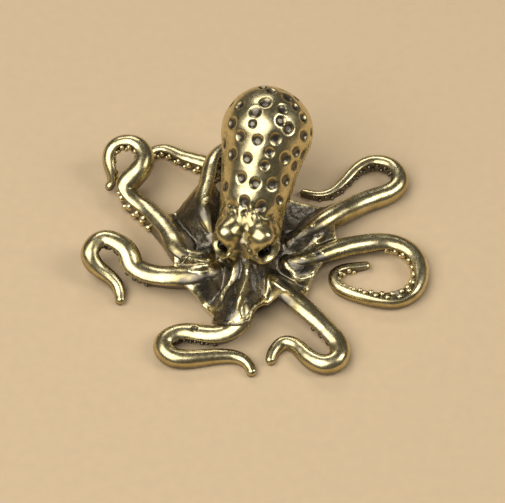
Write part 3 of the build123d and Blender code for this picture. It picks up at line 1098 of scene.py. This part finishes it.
    def eye_shell(self, side: int) -> Shells:
        """One eye: a ball with a raised pupil, exp(-(angle / width)^4) high, in its socket.

        Args:
            side: -1 for the left eye and 1 for the right.

        Returns:
            One closed shell.
        """
        look = unit(np.array(self.gaze) * (side, 1, 1))
        level = unit(np.cross(look, UP))
        upward = np.cross(level, look)
        tilt = np.linspace(0.0, math.pi, self.eye_rings)[1:-1]
        turn = full_turn(self.eye_around)[None, :, None]
        pupil, pupil_width = self.pupil
        radius = self.eye_radius * (1.0 + pupil * plateau(tilt / pupil_width, PIT_POWER))
        rings = (
            self.eye_place(side) - self.eye_sunk * look
            + (radius * np.cos(tilt))[:, None, None] * look
            + (radius * np.sin(tilt))[:, None, None] * (np.cos(turn) * level + np.sin(turn) * upward)
        )
        least, more = self.eye_dark
        shade = least + more * ease(*self.eye_edge, tilt)[:, None]
        return Shells.single(rings, np.broadcast_to(shade, rings.shape[:2]).copy())

    def build(self, looks: "Looks") -> None:
        """Makes the mantle and both eyes.

        Args:
            looks: the figurine's finishes.
        """
        self.shell().make("mantle_skin", ("mantle",), Slot.BODY, looks.body)
        for side, name in ((-1, "left"), (1, "right")):
            self.eye_shell(side).make(f"eye_bead_{name}", (f"eye_{name}",), Slot.EYE, looks.eye)


# Web


@dataclass
class Web:
    """The arched web: bowls between ridges that run up the arms to the head.

    Lengths are in mm. A range says where a change begins and where it is complete.

    Attributes:
        arms: the arms that it lies over.
        centre: the middle of its plan.
        shift: how far the middle of all the arms lies along y.
        spread: length of a share of 1 along x or y of the outline.
        crown: height of the bowl in the middle.
        rim: height of the bowl at its rim.
        bowl_power: how the bowl rises from the rim.
        thickness: thickness of the web.
        lip: least height of its rim.
        around: points in a ring.
        rows: rings of the upper skin.
        corner_points: points of the outline from one corner to the next.
        middle_share: share of the way to the rim at the first ring.
        rim_steps: steps of the half circle that rounds the rim.
        under_step: how many rings of the upper skin there are for one of the underside.
        outline: a corner and the middle of the scallop after it, in shares of the spread.
        flare_middle: the middle of the flare round the head.
        flare_radii: half width and half depth of the head's foot.
        flare: height of the flare, and the share of a radius over which it falls.
        bib: places of the ridge that runs forwards from the head.
        bib_width: half width of that ridge.
        bib_narrow: share of the width at its start, and what it gains to its end.
        bib_slope: steepness of its sides.
        bib_points: points of its line.
        cover: height of the web over an arm, against the arm's radius.
        cover_loss: how much lower it is at the rim.
        cover_rim: range of shares of the way to the rim over which it gets lower.
        arm_points: points of each arm's line that are covered.
        least_radius: least radius that an arm is covered for.
        arm_slope: steepness of the sides of an arm's ridge.
        arm_round: how round the top of that ridge is, against the radius.
        painted_ridge_highlight: how bright the painted highlight on each arm's ridge is.
        painted_ridge_highlight_width: half width of that strip of painted highlight against the radius, less
            on a broad skirt.
        painted_ridge_highlight_rim: range of shares of the way to the rim over which the painted highlight
            turns bright.
        join: sharpness of the joins between the ridges and the bowl.
        folds: places of each draped fold.
        fold_points: points of a fold's line.
        fold_ends: shares of a fold over which it rises at its start and falls at its end.
        fold_height: height of a fold.
        fold_width: half width of a fold.
        painted_fold_highlight_width: width of the painted highlight on its crest against the fold.
        hammering: the waves of the hammered skin.
        front: range along y over which the rim turns bright, from the front.
        edge: how bright the edge is, and the range of shares to the rim over which it is.
        crest_facing: range of upward facing over which a crest gets its painted highlight.
        recess_mix: recess value of the plain skin, and what a crest's painted highlight and the edge take
            from it.
        recess_range: least and greatest recess value.
        rim_recess: recess value of the rim in front, and what it loses behind.
        under_recess: recess value of the underside.
    """

    arms: list[Arm]
    centre: Pair = (-0.9, 0.0)
    shift: float = -0.9
    spread: float = 0.507 * LENGTH
    crown: float = 2.6
    rim: float = 1.0
    bowl_power: float = 1.5
    thickness: float = 0.5
    lip: float = 0.15
    around: int = 560
    rows: int = 112
    corner_points: int = 80
    middle_share: float = 0.02
    rim_steps: int = 9
    under_step: int = 4
    outline: tuple[tuple[tuple[float, float], tuple[float, float]], ...] = (
        ((0.05, -0.51), (0.15, -0.31)),
        ((0.34, -0.33), (0.34, -0.12)),
        ((0.5, 0.14), (0.41, 0.31)),
        ((0.52, 0.47), (0.31, 0.45)),
        ((0.0, 0.52), (-0.2, 0.38)),
        ((-0.34, 0.45), (-0.53, 0.27)),
        ((-0.66, 0.21), (-0.45, -0.1)),
        ((-0.5, -0.23), (-0.24, -0.36)),
        ((-0.17, -0.47), (-0.06, -0.535)),
    )
    flare_middle: Pair = (-0.9, 0.4)
    flare_radii: Pair = (3.0, 3.9)
    flare: Pair = (1.5, 0.22)
    bib: tuple[Triple, ...] = (
        (-0.6, -2.6, 4.9), (-0.4, -3.9, 4.6), (-0.2, -5.6, 3.9), (-0.4, -7.6, 3.7), (-0.5, -9.5, 3.4),
        (-0.9, -10.5, 2.9),
    )
    bib_width: float = 2.1
    bib_narrow: Pair = (0.45, 0.55)
    bib_slope: float = 1.5
    bib_points: int = 80
    cover: float = 1.22
    cover_loss: float = 0.1
    cover_rim: Pair = (0.6, 1.0)
    arm_points: int = 160
    least_radius: float = 0.7
    arm_slope: float = 1.6
    arm_round: float = 1.15
    painted_ridge_highlight: float = 0.95
    painted_ridge_highlight_width: float = 0.75
    painted_ridge_highlight_rim: Pair = (0.5, 0.9)
    join: float = 6.0
    folds: tuple[tuple[tuple[float, float], ...], ...] = (
        ((-1.9, -3.4), (-1.75, -5.1), (-2.45, -6.7), (-2.5, -8.4)),
        ((-0.4, -3.6), (-0.15, -6.3), (-0.4, -8.2), (-0.45, -9.9)),
        ((1.5, -3.3), (2.0, -6.1), (1.5, -8.1), (0.7, -9.8), (-0.6, -10.4)),
        ((3.5, -1.0), (4.8, -0.2), (6.0, 1.3), (7.0, 2.6)),
        ((-7.6, -3.3), (-5.7, -3.5), (-4.4, -3.1), (-3.6, -2.2)),
        ((-3.4, -2.0), (-4.0, -3.6), (-4.6, -4.4), (-6.8, -4.5)),
        ((2.4, -1.2), (3.7, -2.5), (4.8, -3.1), (6.1, -2.8), (8.0, -1.6)),
        ((1.5, -4.6), (2.6, -5.4), (3.9, -6.1), (5.4, -7.2)),
    )
    fold_points: int = 150
    fold_ends: tuple[int, int, int, int] = (0, 35, 110, 149)
    fold_height: float = 0.55
    fold_width: float = 0.32
    painted_fold_highlight_width: float = 0.95
    hammering: tuple[Wave, ...] = ((0.035, 0.6, 21), (0.02, 0.3, 22))
    front: Pair = (-10.0, -8.0)
    edge: Triple = (0.75, 0.94, 0.995)
    crest_facing: Pair = (0.2, 0.8)
    recess_mix: Triple = (1.05, 1.5, 1.3)
    recess_range: Pair = (-0.5, 1.1)
    rim_recess: Pair = (0.8, 1.1)
    under_recess: float = 1.0

    def radius(self, turn: np.ndarray) -> np.ndarray:
        """How far the outline lies from the centre at each angle.

        The outline is a chain of parabolas, each from one corner through a scallop's middle
        to the next corner: corner (1-t)(1-2t) + 4 scallop t(1-t) + next t(2t-1).

        Args:
            turn: angles round the centre, in radians from 0 to a full turn.

        Returns:
            Distances in mm.
        """
        pairs = np.array(self.outline) * self.spread + np.array([0.0, self.shift])
        corner, scallop = pairs[:, 0], pairs[:, 1]
        after = np.roll(corner, -1, axis=0)
        t = np.linspace(0.0, 1.0, self.corner_points, endpoint=False)[None, :, None]
        line = (
            corner[:, None] * (1 - t) * (1 - 2 * t)
            + 4 * scallop[:, None] * t * (1 - t)
            + after[:, None] * t * (2 * t - 1)
        ).reshape(-1, 2) - np.array(self.centre)
        full = 2.0 * math.pi
        angle = np.mod(np.arctan2(line[:, 1], line[:, 0]), full)
        order = np.argsort(angle)
        far = np.linalg.norm(line, axis=1)
        return np.interp(turn, angle[order], far[order], period=full) - self.thickness / 2.0

    def base_levels(self, points: np.ndarray, share: np.ndarray) -> list[np.ndarray]:
        """The bowl, the flare that falls from the head like exp(-gap / width), and the bib.

        Args:
            points: places in plan.
            share: shares of the way from the centre to the rim.

        Returns:
            The heights of each of the three.
        """
        rise = np.power(np.clip(1.0 - share, 0.0, 1.0), self.bowl_power)
        bowl = self.rim + (self.crown - self.rim) * rise
        middle, radii = self.flare_middle, self.flare_radii
        height, width = self.flare
        from_head = np.hypot(
            (points[..., 0] - middle[0]) / radii[0], (points[..., 1] - middle[1]) / radii[1]
        )
        flare = bowl + height * np.exp(-np.maximum(from_head - 1.0, 0.0) / width)
        drape = smooth_route(np.array(self.bib), self.bib_points)
        far, index = nearest(points, drape)
        narrow, gain = self.bib_narrow
        half = self.bib_width * (narrow + gain * index / (self.bib_points - 1.0))
        bib = drape[index, 2] - self.bib_slope * (np.sqrt(far**2 + half**2) - half)
        return [bowl, flare, bib]

    def level(self, points: np.ndarray, share: np.ndarray) -> tuple[np.ndarray, np.ndarray]:
        """Height of the web's upper skin.

        It is the rounded maximum of the bowl, the flare, the bib and a ridge over each arm,
        whose sides fall like the branches of a hyperbola, with the bell-shaped folds on it.

        Args:
            points: places in plan.
            share: shares of the way from the centre to the rim.

        Returns:
            The heights, and how near each place is to a crest with a painted highlight, from 0 to 1.
        """
        levels = self.base_levels(points, share)
        cover = self.cover - self.cover_loss * ease(*self.cover_rim, share)
        polish_and_painted_highlight = np.zeros(points.shape[:-1])
        raised = np.zeros(points.shape[:-1])
        for arm in self.arms:
            reach = arm.line[: self.arm_points]
            radius = arm.radius(np.linspace(0.0, 1.0, len(arm.line)))[: self.arm_points]
            far, index = nearest(points, reach)
            wide = np.maximum(radius[index], self.least_radius) * arm.route.skirt
            top = self.arm_round * wide
            fall = self.arm_slope * (np.sqrt(far**2 + top**2) - top)
            levels.append(reach[index, 2] + radius[index] * cover - fall)
            # painted highlight: a strip along each arm's ridge, growing towards the rim
            strip = bell(far, self.painted_ridge_highlight_width * wide / arm.route.skirt**3)
            polish_and_painted_highlight = np.maximum(polish_and_painted_highlight, self.painted_ridge_highlight * ease(*self.painted_ridge_highlight_rim, share) * strip)
        begin, begun, ending, end = self.fold_ends
        for fold in self.folds:
            far, index = nearest(points, smooth_route(np.array(fold), self.fold_points))
            fade = ease(begin, begun, index) * ease(end, ending, index)
            raised = np.maximum(raised, fade * bell(far, self.fold_width))
            # painted highlight along the crest of each fold
            polish_and_painted_highlight = np.maximum(polish_and_painted_highlight, fade * bell(far, self.painted_fold_highlight_width * self.fold_width))
        return soft_max(np.stack(levels), self.join) + self.fold_height * raised, polish_and_painted_highlight

    def shell(self) -> Shells:
        """The web as one closed shell: upper skin, rounded rim, and the underside below it.

        Its rings are the outline shrunk towards the centre. The rim's section is half a circle.

        Returns:
            One closed shell.
        """
        turn = full_turn(self.around)
        reach = self.radius(turn)
        spoke = np.stack([np.cos(turn), np.sin(turn)], axis=1)
        share = np.linspace(self.middle_share, 1.0, self.rows)
        plan = np.array(self.centre) + (share[:, None, None] * reach[None, :, None]) * spoke[None]
        wide_share = np.broadcast_to(share[:, None], plan.shape[:2])
        top, polish_and_painted_highlight = self.level(plan, wide_share)
        top = top + ripples(np.concatenate([plan, top[..., None]], axis=2), self.hammering)
        upper = np.concatenate([plan, top[..., None]], axis=2)
        bend = np.linspace(0.0, math.pi, self.rim_steps)[1:-1]
        half = self.thickness / 2.0
        rim_plan = np.array(self.centre) + (reach[None, :] + half * np.sin(bend)[:, None])[..., None] * spoke
        rim_high = np.maximum(top[-1][None] - half + half * np.cos(bend)[:, None], self.lip)
        rim = np.concatenate([rim_plan, rim_high[..., None]], axis=2)
        under_high = np.maximum(top[:: -self.under_step] - self.thickness, self.lip)
        under = np.concatenate([plan[:: -self.under_step], under_high[..., None]], axis=2)
        level, *edge_range = self.edge
        behind = ease(*self.front, plan[..., 1])
        edge = level * ease(*edge_range, wide_share) * behind
        # painted highlight on the upward-facing crests of ridges and folds
        crest = polish_and_painted_highlight * ease(*self.crest_facing, ring_normals(upper)[..., 2])
        plain, painted_crest_highlight, edge_rub = self.recess_mix
        in_front, loss = self.rim_recess
        recess = np.concatenate(
            [
                np.clip(plain - painted_crest_highlight * crest - edge_rub * edge, *self.recess_range),
                in_front - loss * np.broadcast_to(behind[-1], rim.shape[:2]),
                np.full(under.shape[:2], self.under_recess),
            ]
        )
        return Shells.single(np.concatenate([upper, rim, under]), recess)

    def build(self, looks: "Looks") -> None:
        """Makes the web."""
        self.shell().make("web_skin", ("web_skirt",), Slot.RECESS, looks.recess)


# Finishes


@dataclass(frozen=True)
class Patina:
    """Numbers of the patina and painted light that all finishes share.

    Attributes:
        blotch: bumps per metre, detail and roughness of the broad noise.
        speck: the same of the fine noise.
        grain: the same of the cast grain.
        used: the part of a noise's values that is used.
        blotch_shake: how far blotches lift or lower the recess value.
        speck_shake: how far specks do.
        tarnish: range of the recess value over which the bright metal turns dull.
        oxide: range over which it turns dark, for the oxide and the painted shade alike.
        cloudy: what specks add to the roughness, at least and at most.
        speck_height: height of the specks against the grain.
        grain_range: range of the recess value over which the grain gets stronger.
        grain_share: how strong it is at either end of that range.
    """

    blotch: Triple = (420.0, 3.0, 0.55)
    speck: Triple = (2200.0, 4.0, 0.65)
    grain: Triple = (5200.0, 5.0, 0.6)
    used: Pair = (0.3, 0.7)
    blotch_shake: Pair = (-0.12, 0.12)
    speck_shake: Pair = (-0.06, 0.06)
    tarnish: Pair = (-0.25, 0.45)
    oxide: Pair = (0.3, 0.95)
    cloudy: Pair = (-0.03, 0.07)
    speck_height: float = 1.6
    grain_range: Pair = (-0.2, 0.7)
    grain_share: Pair = (0.25, 1.0)

    def group(self) -> bpy.types.NodeTree:
        """The patina and painted light: oxide and painted shade where the recess value, shaken by two noises,
        is high, polished metal and painted highlights where it is low.

        The colour runs from bright through dull to dark along that mask, the roughness
        likewise, and the height is a fine cast grain that is stronger under the oxide.

        Returns:
            The node group, with named inputs and outputs.
        """
        group = bpy.data.node_groups.new("antique_patina_and_painted_light", "ShaderNodeTree")
        face = group.interface
        for name, kind in (
            ("Recess", "NodeSocketFloat"), ("Place", "NodeSocketVector"), ("Bright", "NodeSocketColor"),
            ("Dull", "NodeSocketColor"), ("Dark", "NodeSocketColor"), ("Patina", "NodeSocketFloat"),
            ("Polish", "NodeSocketFloat"), ("Matt", "NodeSocketFloat"),
        ):
            face.new_socket(name=name, in_out="INPUT", socket_type=kind)
        for name, kind in (
            ("Color", "NodeSocketColor"), ("Roughness", "NodeSocketFloat"), ("Height", "NodeSocketFloat")
        ):
            face.new_socket(name=name, in_out="OUTPUT", socket_type=kind)
        node, link = group.nodes.new, group.links.new
        inside, outside = node("NodeGroupInput").outputs, node("NodeGroupOutput").inputs

        def noise(scale: float, detail: float, rough: float) -> bpy.types.NodeSocket:
            """A noise on the object's own place.

            Args:
                scale: its bumps per metre.
                detail: how many finer layers it has.
                rough: how strong the finer layers are.

            Returns:
                Its value, about 0 to 1.
            """
            made = node("ShaderNodeTexNoise")
            for name, value in (("Scale", scale), ("Detail", detail), ("Roughness", rough)):
                made.inputs[name].default_value = value
            link(inside["Place"], made.inputs["Vector"])
            return made.outputs["Fac"]

        def maths(
            kind: str, first: bpy.types.NodeSocket, second: bpy.types.NodeSocket | float
        ) -> bpy.types.NodeSocket:
            """A sum or a product.

            Args:
                kind: ADD or MULTIPLY.
                first: a socket.
                second: another socket, or a number.

            Returns:
                The result.
            """
            made = node("ShaderNodeMath")
            made.operation = kind
            link(first, made.inputs[0])
            if isinstance(second, float):
                made.inputs[1].default_value = second
            else:
                link(second, made.inputs[1])
            return made.outputs[0]

        def spread(source: bpy.types.NodeSocket, reach: Pair, result: Pair) -> bpy.types.NodeSocket:
            """Maps a range of a socket to another range, eased and clamped.

            Args:
                source: the socket.
                reach: its least and greatest value.
                result: what these turn into.

            Returns:
                The mapped value.
            """
            made = node("ShaderNodeMapRange")
            made.interpolation_type = "SMOOTHSTEP"
            for name, value in zip(("From Min", "From Max", "To Min", "To Max"), reach + result):
                made.inputs[name].default_value = value
            link(source, made.inputs["Value"])
            return made.outputs[0]

        def mixed(
            kind: str, factor: bpy.types.NodeSocket, first: bpy.types.NodeSocket, second: bpy.types.NodeSocket
        ) -> bpy.types.NodeSocket:
            """A mix of two colours or numbers.

            Args:
                kind: RGBA for colours, FLOAT for numbers.
                factor: 0 for the first and 1 for the second.
                first: the first.
                second: the second.

            Returns:
                The mix.
            """
            made = node("ShaderNodeMix")
            made.data_type = kind
            for name, source in (("Factor", factor), ("A", first), ("B", second)):
                link(source, made.inputs[name])
            return made.outputs["Result"]

        whole = (0.0, 1.0)
        blotch, speck, grain = noise(*self.blotch), noise(*self.speck), noise(*self.grain)
        shake = maths(
            "ADD", spread(blotch, self.used, self.blotch_shake), spread(speck, self.used, self.speck_shake)
        )
        shaken = maths("ADD", maths("ADD", inside["Recess"], inside["Patina"]), shake)
        oxide = spread(shaken, self.oxide, whole)
        warm = mixed("RGBA", spread(shaken, self.tarnish, whole), inside["Bright"], inside["Dull"])
        link(mixed("RGBA", oxide, warm, inside["Dark"]), outside["Color"])
        sheen = mixed("FLOAT", oxide, inside["Polish"], inside["Matt"])
        link(maths("ADD", sheen, spread(speck, self.used, self.cloudy)), outside["Roughness"])
        rough = maths("ADD", maths("MULTIPLY", speck, self.speck_height), grain)
        share = spread(shaken, self.grain_range, self.grain_share)
        link(maths("MULTIPLY", rough, share), outside["Height"])
        return group


@dataclass(frozen=True)
class BrassFinish:
    """An antiqued brass: a polished colour where the recess value is low, on polished metal and painted
    highlights, and a dark one where it is high, on oxide and painted shade.

    Attributes:
        name: the material's name.
        patina: how far the oxide spreads beyond the recesses.
        polish: roughness of the polished metal.
        matt: roughness of the oxide.
        grain: height of the cast grain in mm.
        bright: linear colour of the polished metal and of the painted highlights.
        dull: linear colour between the two.
        dark: linear colour of the oxide in the recesses and of the painted shade on undersides.
    """

    name: str
    patina: float
    polish: float
    matt: float
    grain: float
    bright: Triple = (0.8, 0.69, 0.4)
    dull: Triple = (0.46, 0.37, 0.17)
    dark: Triple = (0.18, 0.155, 0.115)

    def make(self, group: bpy.types.NodeTree) -> bpy.types.Material:
        """Makes the material round the shared patina group.

        Args:
            group: the patina node group.

        Returns:
            The material.
        """
        look = bpy.data.materials.new(self.name)
        look.use_nodes = True
        tree = look.node_tree
        shader = tree.nodes["Principled BSDF"]
        shader.inputs["Metallic"].default_value = 1.0
        wear = tree.nodes.new("ShaderNodeGroup")
        wear.node_tree = group
        for name, colour in (("Bright", self.bright), ("Dull", self.dull), ("Dark", self.dark)):
            wear.inputs[name].default_value = (*colour, 1.0)
        for name, value in (("Patina", self.patina), ("Polish", self.polish), ("Matt", self.matt)):
            wear.inputs[name].default_value = value
        recess = tree.nodes.new("ShaderNodeAttribute")
        recess.attribute_name = "recess"
        place = tree.nodes.new("ShaderNodeTexCoord")
        bump = tree.nodes.new("ShaderNodeBump")
        bump.inputs["Distance"].default_value = self.grain * MILLIMETRE
        bump.inputs["Strength"].default_value = 1.0
        link = tree.links.new
        link(recess.outputs["Fac"], wear.inputs["Recess"])
        link(place.outputs["Object"], wear.inputs["Place"])
        link(wear.outputs["Color"], shader.inputs["Base Color"])
        link(wear.outputs["Roughness"], shader.inputs["Roughness"])
        link(wear.outputs["Height"], bump.inputs["Height"])
        link(bump.outputs["Normal"], shader.inputs["Normal"])
        return look


@dataclass
class Looks:
    """All finishes of the figurine, made round one shared group for the patina and the painted light.

    Attributes:
        body: brass of the mantle and arms, with painted highlights on the arms' upward-facing backs and
            painted shade on undersides.
        recess: brass of the web and suckers, with a deeper grain and painted highlights on the web's crests.
        eye: dark brass of the eyes.
    """

    body: bpy.types.Material = field(init=False)
    recess: bpy.types.Material = field(init=False)
    eye: bpy.types.Material = field(init=False)

    def __post_init__(self) -> None:
        """Makes the group and the three brasses."""
        group = Patina().group()
        # the body brass also carries the painted highlights and painted shade of the arms and mantle
        polish_and_painted_highlight = BrassFinish("polished_brass_with_painted_light", patina=0.07, polish=0.25, matt=0.32, grain=0.004)
        darkened = BrassFinish("darkened_brass", patina=0.05, polish=0.25, matt=0.27, grain=0.03)
        eye = BrassFinish(
            "eye_brass", patina=0.2, polish=0.08, matt=0.16, grain=0.005,
            bright=(0.3, 0.26, 0.17), dull=(0.1, 0.08, 0.05), dark=(0.02, 0.017, 0.014),
        )
        self.body, self.recess, self.eye = (look.make(group) for look in (polish_and_painted_highlight, darkened, eye))


# Studio


@dataclass(frozen=True)
class Softbox:
    """A rectangular softbox.

    Attributes:
        name: its name.
        place: where it hangs, in metres.
        size: its width and height, in metres.
        power: its power in watts.
    """

    name: str
    place: Triple
    size: Pair
    power: float

    def hang(self, aim: Triple) -> None:
        """Hangs the softbox and turns it towards a place.

        Args:
            aim: the place, in metres.
        """
        data = bpy.data.lights.new(self.name, "AREA")
        data.shape = "RECTANGLE"
        data.size, data.size_y = self.size
        data.energy = self.power
        lamp = bpy.data.objects.new(self.name, data)
        lamp.location = self.place
        lamp.rotation_euler = (Vector(aim) - Vector(self.place)).to_track_quat("-Z", "Y").to_euler()
        bpy.context.scene.collection.objects.link(lamp)


@dataclass
class Studio:
    """A pale floor, soft lamps and the camera.

    Attributes:
        azimuth: degrees that the camera stands to the right of the front.
        elevation: degrees that it looks down.
        distance: its distance from the target, in mm.
        target: what it looks at, in mm.
        focal: its focal length, in pixels of the image.
        image_width: width of the image, in pixels.
        sensor_width: width of its sensor, in mm.
        clip: nearest and farthest distance that it sees, in metres.
        floor_half: half width of the floor, in metres.
        floor_colour: linear colour of the floor.
        floor_tones: shades of that colour at the least and the most of its grain.
        floor_roughness: roughness of the floor.
        floor_grain: bumps per metre of the grain, and its detail.
        world_colour: colour of the surround.
        world_level: strength of the surround.
        aim: where the softboxes point, in metres.
        softboxes: the softboxes.
    """

    azimuth: float = 9.0
    elevation: float = 52.0
    distance: float = 210.0
    target: Triple = (-0.2, -1.25, 3.0)
    focal: float = 2047.5
    image_width: int = 505
    sensor_width: float = 36.0
    clip: Pair = (0.01, 10.0)
    floor_half: float = 0.6
    floor_colour: Triple = (0.66, 0.49, 0.29)
    floor_tones: Pair = (0.95, 1.05)
    floor_roughness: float = 0.8
    floor_grain: Pair = (900.0, 5.0)
    world_colour: Triple = (1.0, 0.97, 0.92)
    world_level: float = 0.08
    aim: Triple = (0.0, 0.0, 0.004)
    softboxes: tuple[Softbox, ...] = (
        Softbox("front_softbox", (-0.16, -0.16, 0.36), (0.46, 0.4), 1.85),
        Softbox("right_softbox", (0.26, 0.02, 0.26), (0.14, 0.18), 0.4),
        Softbox("rear_softbox", (-0.1, 0.3, 0.26), (0.2, 0.1), 0.25),
    )

    def floor(self) -> None:
        """A wide level floor with a faint paper grain."""
        half = self.floor_half
        corners = [(-half, -half, 0.0), (half, -half, 0.0), (half, half, 0.0), (-half, half, 0.0)]
        mesh = bpy.data.meshes.new("floor")
        mesh.from_pydata(corners, [], [(0, 1, 2, 3)])
        look = bpy.data.materials.new("pale_floor")
        look.use_nodes = True
        tree = look.node_tree
        shader = tree.nodes["Principled BSDF"]
        shader.inputs["Roughness"].default_value = self.floor_roughness
        place = tree.nodes.new("ShaderNodeTexCoord")
        fibre = tree.nodes.new("ShaderNodeTexNoise")
        fibre.inputs["Scale"].default_value, fibre.inputs["Detail"].default_value = self.floor_grain
        tone = tree.nodes.new("ShaderNodeMix")
        tone.data_type = "RGBA"
        for name, shade in zip("AB", self.floor_tones):
            tone.inputs[name].default_value = (*(c * shade for c in self.floor_colour), 1.0)
        tree.links.new(place.outputs["Object"], fibre.inputs["Vector"])
        tree.links.new(fibre.outputs["Fac"], tone.inputs["Factor"])
        tree.links.new(tone.outputs["Result"], shader.inputs["Base Color"])
        mesh.materials.append(look)
        floor = bpy.data.objects.new("floor", mesh)
        bpy.context.scene.collection.objects.link(floor)

    def camera(self) -> None:
        """The camera, at the photograph's viewing angle."""
        turn, lift = math.radians(self.azimuth), math.radians(self.elevation)
        back = Vector(
            (math.sin(turn) * math.cos(lift), -math.cos(turn) * math.cos(lift), math.sin(lift))
        )
        data = bpy.data.cameras.new("camera")
        data.sensor_fit = "HORIZONTAL"
        data.sensor_width = self.sensor_width
        data.lens = self.sensor_width * self.focal / self.image_width
        data.clip_start, data.clip_end = self.clip
        camera = bpy.data.objects.new("camera", data)
        camera.location = (Vector(self.target) + back * self.distance) * MILLIMETRE
        camera.rotation_euler = back.to_track_quat("Z", "Y").to_euler()
        bpy.context.scene.collection.objects.link(camera)
        bpy.context.scene.camera = camera

    def world(self) -> None:
        """An even, slightly warm surround."""
        world = bpy.data.worlds.new("surround")
        world.use_nodes = True
        background = world.node_tree.nodes["Background"]
        background.inputs["Color"].default_value = (*self.world_colour, 1.0)
        background.inputs["Strength"].default_value = self.world_level
        bpy.context.scene.world = world

    def build(self) -> None:
        """Sets up the camera, floor, surround and softboxes."""
        self.camera()
        self.floor()
        self.world()
        for softbox in self.softboxes:
            softbox.hang(self.aim)
        bpy.context.scene.view_settings.view_transform = "Standard"


def main() -> None:
    """Builds the studio, the finishes and every piece of the figurine, in order."""
    Studio().build()
    looks = Looks()
    arms = [Arm(route) for route in ROUTES]
    for arm in arms:
        arm.build(looks)
    Mantle().build(looks)
    Web(arms).build(looks)


if __name__ == "__main__":
    main()
